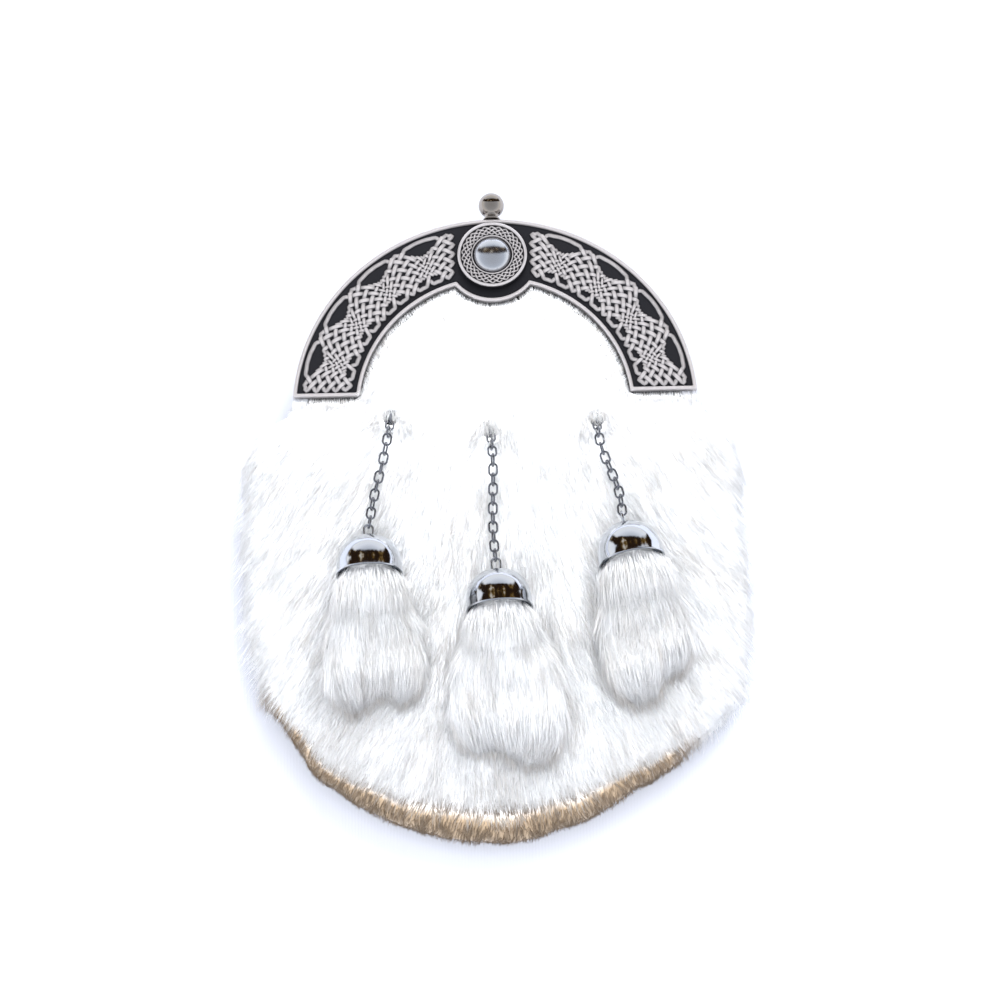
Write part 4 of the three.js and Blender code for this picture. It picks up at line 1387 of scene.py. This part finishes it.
def wall_line():
    """The hide's outline on the floor with its wall's height, smooth, and the way out from it."""
    on_floor, same_wall, same_place = 0.05 * MM, 3 * MM, 0.1 * MM
    co, _ = points_and_normals(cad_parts["hide_shell"].data)
    foot = np.unique(np.round(co[co[:, 2] < on_floor], 6), axis=0)[:, :2]
    far = np.linalg.norm(foot - COAT_MIDDLE, axis=1)
    apart = np.linalg.norm(foot[:, None] - foot[None], axis=2)
    # The wall stands on an outer and an inner line; the outer one is the farther of each pair.
    foot = foot[far >= np.where(apart < same_wall, far[None], 0).max(axis=1)]
    spoke = foot - COAT_MIDDLE
    foot = foot[np.argsort(np.arctan2(spoke[:, 1], spoke[:, 0]))]
    near = np.linalg.norm(co[None, :, :2] - foot[:, None], axis=2) < same_place
    top = np.where(near, co[None, :, 2], 0).max(axis=1)
    line = smooth_loop(np.column_stack([foot, top]), 6)
    ahead = np.roll(line[:, :2], -1, axis=0) - np.roll(line[:, :2], 1, axis=0)
    return line, unit(np.stack([ahead[:, 1], -ahead[:, 0]], axis=1))


def hide_rings(line, out, thick):
    """Rings of the hollow hide: over the front, down the wall, up inside it and back under the front."""
    solid = surface_of("hide_shell")
    down, above = Vector((0, 0, -1)), 100 * MM

    def front(inset, share, drop):
        flat = COAT_MIDDLE + (line[:, :2] - out * inset - COAT_MIDDLE) * share
        high = [solid.ray_cast(Vector((x, y, above)), down)[0].z - drop for x, y in flat]
        return np.column_stack([flat, high])

    def wall(inset, height):
        return np.column_stack([line[:, :2] - out * inset, height])

    top = line[:, 2]
    shares = (0.02, 0.3, 0.55, 0.76, 0.9, 0.965)
    rings = [front(0, share, 0) for share in shares]
    bend, edge, softened = 1.2 * MM, 0.5 * MM, 0.3
    for turn in (20, 45, 70, 90):
        a = math.radians(turn)
        rings.append(wall(bend * (1 - math.sin(a)), top - bend * (1 - math.cos(a))))
    low = np.zeros(len(line))
    rings += [wall(0, top * 0.6), wall(0, top * 0.3), wall(0, low + edge)]
    rings += [wall(edge * softened, low + edge * softened), wall(edge, low), wall(thick - edge, low)]
    rings += [wall(thick - edge * softened, low + edge * softened), wall(thick, low + edge)]
    rings += [wall(thick, top * 0.5), wall(thick, top - thick - bend)]
    return rings + [front(thick, share, thick) for share in reversed(shares)]


def rounded_box(low, high, radius, inset):
    """Outline of a rounded rectangle, drawn in by inset."""
    radius, parts = radius - inset, 8
    left, right = low.x + inset + radius, high.x - inset - radius
    bottom, top = low.y + inset + radius, high.y - inset - radius
    points = []
    for x, y, start in ((right, bottom, -90), (right, top, 0), (left, top, 90), (left, bottom, 180)):
        for k in range(parts + 1):
            a = math.radians(start + 90 * k / parts)
            points.append((x + radius * math.cos(a), y + radius * math.sin(a)))
    return points


def cut_sheet(name, loops, low, thick):
    """Leather cut to its outline, holes and all, with its cut edges rubbed round."""
    points, edges = [], []
    for loop in loops:
        start = len(points)
        points += [(x, y, low) for x, y in loop]
        edges += [(start + k, start + (k + 1) % len(loop)) for k in range(len(loop))]
    mesh = bpy.data.meshes.new(name)
    mesh.from_pydata(points, edges, [])
    obj = bpy.data.objects.new(name, mesh)
    bpy.context.scene.collection.objects.link(obj)
    only(obj)
    bpy.ops.object.mode_set(mode="EDIT")
    bpy.ops.mesh.select_all(action="SELECT")
    bpy.ops.mesh.fill()
    bpy.ops.mesh.select_all(action="SELECT")
    bpy.ops.mesh.extrude_region_move(TRANSFORM_OT_translate={"value": (0, 0, thick)})
    bpy.ops.object.mode_set(mode="OBJECT")
    sealed(obj)
    edge = obj.modifiers.new("rubbed edge", "BEVEL")
    edge.width = 0.4 * MM
    edge.segments = 2
    edge.limit_method = "ANGLE"
    edge.angle_limit = math.radians(60)
    apply_modifiers(obj)
    return obj


def seam(line, pitch, closed=True):
    """Places a stitch apart along a line of (x, y, z) points, each with the way ahead."""
    line = np.array(line, dtype=float)
    if closed:
        line = np.concatenate([line, line[:1]])
    total = np.concatenate([[0], np.cumsum(np.linalg.norm(np.diff(line, axis=0), axis=1))])
    count = int(total[-1] / pitch)
    place = (np.arange(count) + 0.5) * total[-1] / count
    a_little = 0.05 * pitch
    at = np.stack([np.interp(place, total, line[:, k]) for k in range(3)], axis=1)
    after = np.stack([np.interp(place + a_little, total, line[:, k]) for k in range(3)], axis=1)
    return at, unit(after - at)


def sewn(name, at, ahead, up):
    """Copies of one stitch, a plump bar of waxed thread, at the places of a seam."""
    bpy.ops.object.select_all(action="DESELECT")
    bpy.ops.mesh.primitive_ico_sphere_add(subdivisions=1, radius=1)
    model = bpy.context.object
    half_long, half_wide, half_high = 1.15 * MM, 0.33 * MM, 0.3 * MM
    bpy.ops.transform.resize(value=(half_long, half_wide, half_high))
    bpy.ops.object.transform_apply(scale=True)
    co, _ = points_and_normals(model.data)
    faces = np.array([list(p.vertices) for p in model.data.polygons])
    bpy.data.objects.remove(model)
    ways = np.stack([ahead, np.cross(up, ahead), up], axis=1)
    verts = at[:, None] + np.einsum("vk,skc->svc", co, ways)
    every = faces[None] + (np.arange(len(at)) * len(co))[:, None, None]
    return mesh_object(name, verts.reshape(-1, 3), every.reshape(-1, 3))


class SPORRAN_OT_leather(bpy.types.Operator):
    """Cuts and sews the leather: the hide under the fur, the back, its flap and the belt loops"""

    bl_idname = "sporran.leather"
    bl_label = "Leather"

    pitch = 3.1 * MM

    def execute(self, context):
        thread = thread_material()
        line, out = wall_line()
        self.hide(line, out, thread)
        self.panel(line, out, thread)
        soft = leather_material("flap_hide", 0.9, 0.4)
        for node, radius in (("back_flap", 16), ("belt_loop_left", 3), ("belt_loop_right", 3)):
            self.sheet(node, radius * MM, soft, thread)
        return {"FINISHED"}

    def hide(self, line, out, thread):
        """The hollow hide, with a row of stitches round the part of its wall that the fur leaves bare."""
        thick, seam_high = 2 * MM, 4.5 * MM
        hide = lofted("hide_leather", hide_rings(line, out, thick))
        finished(hide, leather_material("pebbled_hide", 1.1, 0.42), ["hide_shell"], 50)
        bare = line[:, 1] > CHORD.y - 4 * MM
        ring = np.column_stack([line[:, :2], np.full(len(line), seam_high)])
        first = int(np.argmax(bare & ~np.roll(bare, 1)))
        order = (np.arange(int(bare.sum())) + first) % len(line)
        at, ahead = seam(ring[order], self.pitch, closed=False)
        stitches = sewn("hide_stitches", at, ahead, unit(np.cross(ahead, [0, 0, 1.0])))
        finished(stitches, thread, ["hide_shell"], 180)

    def panel(self, line, out, thread):
        """The back panel inside the hide's wall, with the mouth cut through it."""
        low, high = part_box("back_panel")
        inset, seam_inset, proud = 2.3 * MM, 3.5 * MM, 0.12 * MM
        corners = (
            Vector((CHORD.x - MOUTH["half"] * MM, CHORD.y + MOUTH["low"] * MM)),
            Vector((CHORD.x + MOUTH["half"] * MM, CHORD.y + MOUTH["high"] * MM)),
        )
        mouth = rounded_box(*corners, MOUTH["round"] * MM, 0)
        flat = line[:, :2] - out * inset
        panel = cut_sheet("back_leather_sheet", [flat.tolist(), mouth], low.z, high.z - low.z)
        finished(panel, leather_material("panel_hide", 1.4, 0.5), ["back_panel"], 40)
        sewn_line = line[:, :2] - out * (inset + seam_inset)
        at, ahead = seam(np.column_stack([sewn_line, np.full(len(line), low.z + proud)]), self.pitch)
        stitches = sewn("back_stitches", at, ahead, np.tile([0, 0, -1.0], (len(at), 1)))
        finished(stitches, thread, ["back_panel"], 180)

    def sheet(self, node, radius, soft, thread):
        """A flap or loop of soft leather, stitched along its edge."""
        clear, seam_inset, proud = 0.2 * MM, 2.5 * MM, 0.34 * MM
        low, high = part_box(node)
        outline = rounded_box(low, high, radius, 0)
        sheet = cut_sheet(node + "_sheet", [outline], low.z + clear, high.z - low.z - clear)
        finished(sheet, soft, [node], 40)
        inner = [(x, y, low.z + proud) for x, y in rounded_box(low, high, radius, seam_inset)]
        at, ahead = seam(inner, self.pitch)
        stitches = sewn(node + "_stitches", at, ahead, np.tile([0, 0, -1.0], (len(at), 1)))
        finished(stitches, thread, [node], 180)


class SPORRAN_OT_stage(bpy.types.Operator):
    """Sets the white cloth, the lights and the camera"""

    bl_idname = "sporran.stage"
    bl_label = "Stage"

    def execute(self, context):
        scene = context.scene
        self.cloth()
        self.camera(scene)
        self.room(scene)
        for name, place, size, power in (
            ("key", (0.3, 1.0, 1.3), 1.0, 42.0),
            ("fill", (-0.1, -0.4, 1.8), 2.0, 71.0),
        ):
            self.lamp(scene, name, place, size, power)
        scene.view_settings.view_transform = "Standard"
        scene.view_settings.look = "None"
        return {"FINISHED"}

    def cloth(self):
        """The cloth, a hair's breadth under the pouch."""
        bpy.ops.object.select_all(action="DESELECT")
        bpy.ops.mesh.primitive_plane_add(size=6, location=(0, 0, -0.2 * MM))
        cloth = bpy.context.object
        cloth.name = "stage_cloth"
        cloth.data.materials.append(floor_material())

    def camera(self, scene):
        """The camera above the pouch, tilted to its foot and a little rolled, as the photograph has it."""
        target = Vector((CHORD.x + 1.2 * MM, CHORD.y - 40.4 * MM, 40 * MM))
        tilt, roll, distance = math.radians(10), math.radians(1.19), 869 * MM
        back = Vector((0, -math.sin(tilt), math.cos(tilt)))
        up = Vector((0, math.cos(tilt), math.sin(tilt)))
        data = bpy.data.cameras.new("camera")
        data.lens = 85
        data.sensor_width = 36
        data.clip_end = 20
        camera = bpy.data.objects.new("camera", data)
        scene.collection.objects.link(camera)
        turned = Matrix((up.cross(back), up, back)).transposed().to_4x4() @ Matrix.Rotation(-roll, 4, "Z")
        camera.matrix_world = Matrix.Translation(target + back * distance) @ turned
        scene.camera = camera

    def room(self, scene):
        """A pale room with one dark, warm opening beyond the head end, as the polished metal shows it."""
        world = bpy.data.worlds.new("studio")
        scene.world = world
        world.use_nodes = True
        tree = world.node_tree
        tree.nodes.clear()
        way = add(tree, "ShaderNodeTexCoord").outputs["Generated"]
        x, y, height = add(tree, "ShaderNodeSeparateXYZ", {"Vector": way}).outputs
        pale = add(tree, "ShaderNodeValToRGB", {"Fac": height})
        sky = ((0.0, "#FFFFFF"), (0.3, "#F2F5FC"), (0.62, "#C3C8D2"), (1.0, "#B3B6BD"))
        fill_ramp(pale.color_ramp, sky)
        # The opening is an oval round a direction, ragged at its edge and lit here and there.
        raised = {0: y, 1: 4.1, 2: -2.36}
        tall = add(tree, "ShaderNodeMath", raised, operation="MULTIPLY_ADD").outputs[0]
        wide = add(tree, "ShaderNodeMath", {0: x, 1: 0.9}, operation="MULTIPLY").outputs[0]
        oval = add(tree, "ShaderNodeCombineXYZ", {"X": wide, "Y": tall}).outputs[0]
        far = add(tree, "ShaderNodeVectorMath", {0: oval}, operation="LENGTH").outputs["Value"]
        ragged = noise(tree, way, 3.4, 2.0)
        torn = {0: ragged, 1: 0.5, 2: -0.25}
        edge = add(tree, "ShaderNodeMath", torn, operation="MULTIPLY_ADD").outputs[0]
        reach = add(tree, "ShaderNodeMath", {0: far, 1: edge}, operation="ADD").outputs[0]
        dark = add(tree, "ShaderNodeValToRGB", {"Fac": ragged})
        browns = ((0.0, "#15100C"), (0.54, "#2B1D12"), (0.61, "#6E5528"), (0.67, "#C4BDB2"))
        fill_ramp(dark.color_ramp, browns)
        beyond = ramp(tree, reach, [(0.78, 0.0), (0.92, 1.0)])
        seen = mixed(tree, beyond, dark.outputs[0], pale.outputs[0])
        light = add(tree, "ShaderNodeBackground", {"Color": seen, "Strength": 1.28})
        add(tree, "ShaderNodeOutputWorld", {"Surface": light.outputs[0]})

    def lamp(self, scene, name, place, size, power):
        """A soft square lamp that faces the pouch and isn't seen in the metal."""
        lamp = bpy.data.lights.new(name, "AREA")
        lamp.size = size
        lamp.energy = power
        holder = bpy.data.objects.new(name, lamp)
        scene.collection.objects.link(holder)
        holder.location = place
        holder.rotation_euler = Vector(place).to_track_quat("Z", "Y").to_euler()
        holder.visible_glossy = False


class SPORRAN_PT_panel(bpy.types.Panel):
    """Lists the steps that dress the sporran"""

    bl_idname = "SPORRAN_PT_panel"
    bl_label = "Sporran pouch"
    bl_space_type = "VIEW_3D"
    bl_region_type = "UI"
    bl_category = "Sporran"

    def draw(self, context):
        layout = self.layout
        for step in STEPS:
            layout.operator(step.bl_idname)
        for group in (context.scene.sporran_sizes, context.scene.sporran_colours):
            box = layout.box()
            for key in group.bl_rna.properties.keys():
                if key not in ("rna_type", "name"):
                    box.prop(group, key)


STEPS = (
    SPORRAN_OT_leather,
    SPORRAN_OT_frame,
    SPORRAN_OT_boss,
    SPORRAN_OT_ball,
    SPORRAN_OT_bells,
    SPORRAN_OT_chains,
    SPORRAN_OT_coat,
    SPORRAN_OT_tassels,
    SPORRAN_OT_stage,
)
CLASSES = (SporranSizes, SporranColours, *STEPS, SPORRAN_PT_panel)


def register():
    for kind in CLASSES:
        bpy.utils.register_class(kind)
    bpy.types.Scene.sporran_sizes = bpy.props.PointerProperty(type=SporranSizes)
    bpy.types.Scene.sporran_colours = bpy.props.PointerProperty(type=SporranColours)


def unregister():
    del bpy.types.Scene.sporran_sizes
    del bpy.types.Scene.sporran_colours
    for kind in reversed(CLASSES):
        bpy.utils.unregister_class(kind)


def main():
    register()
    for step in STEPS:
        group, name = step.bl_idname.split(".")
        result = getattr(getattr(bpy.ops, group), name)()
        if result != {"FINISHED"}:
            raise RuntimeError(f"{step.bl_label} did not finish")


if __name__ == "__main__":
    main()
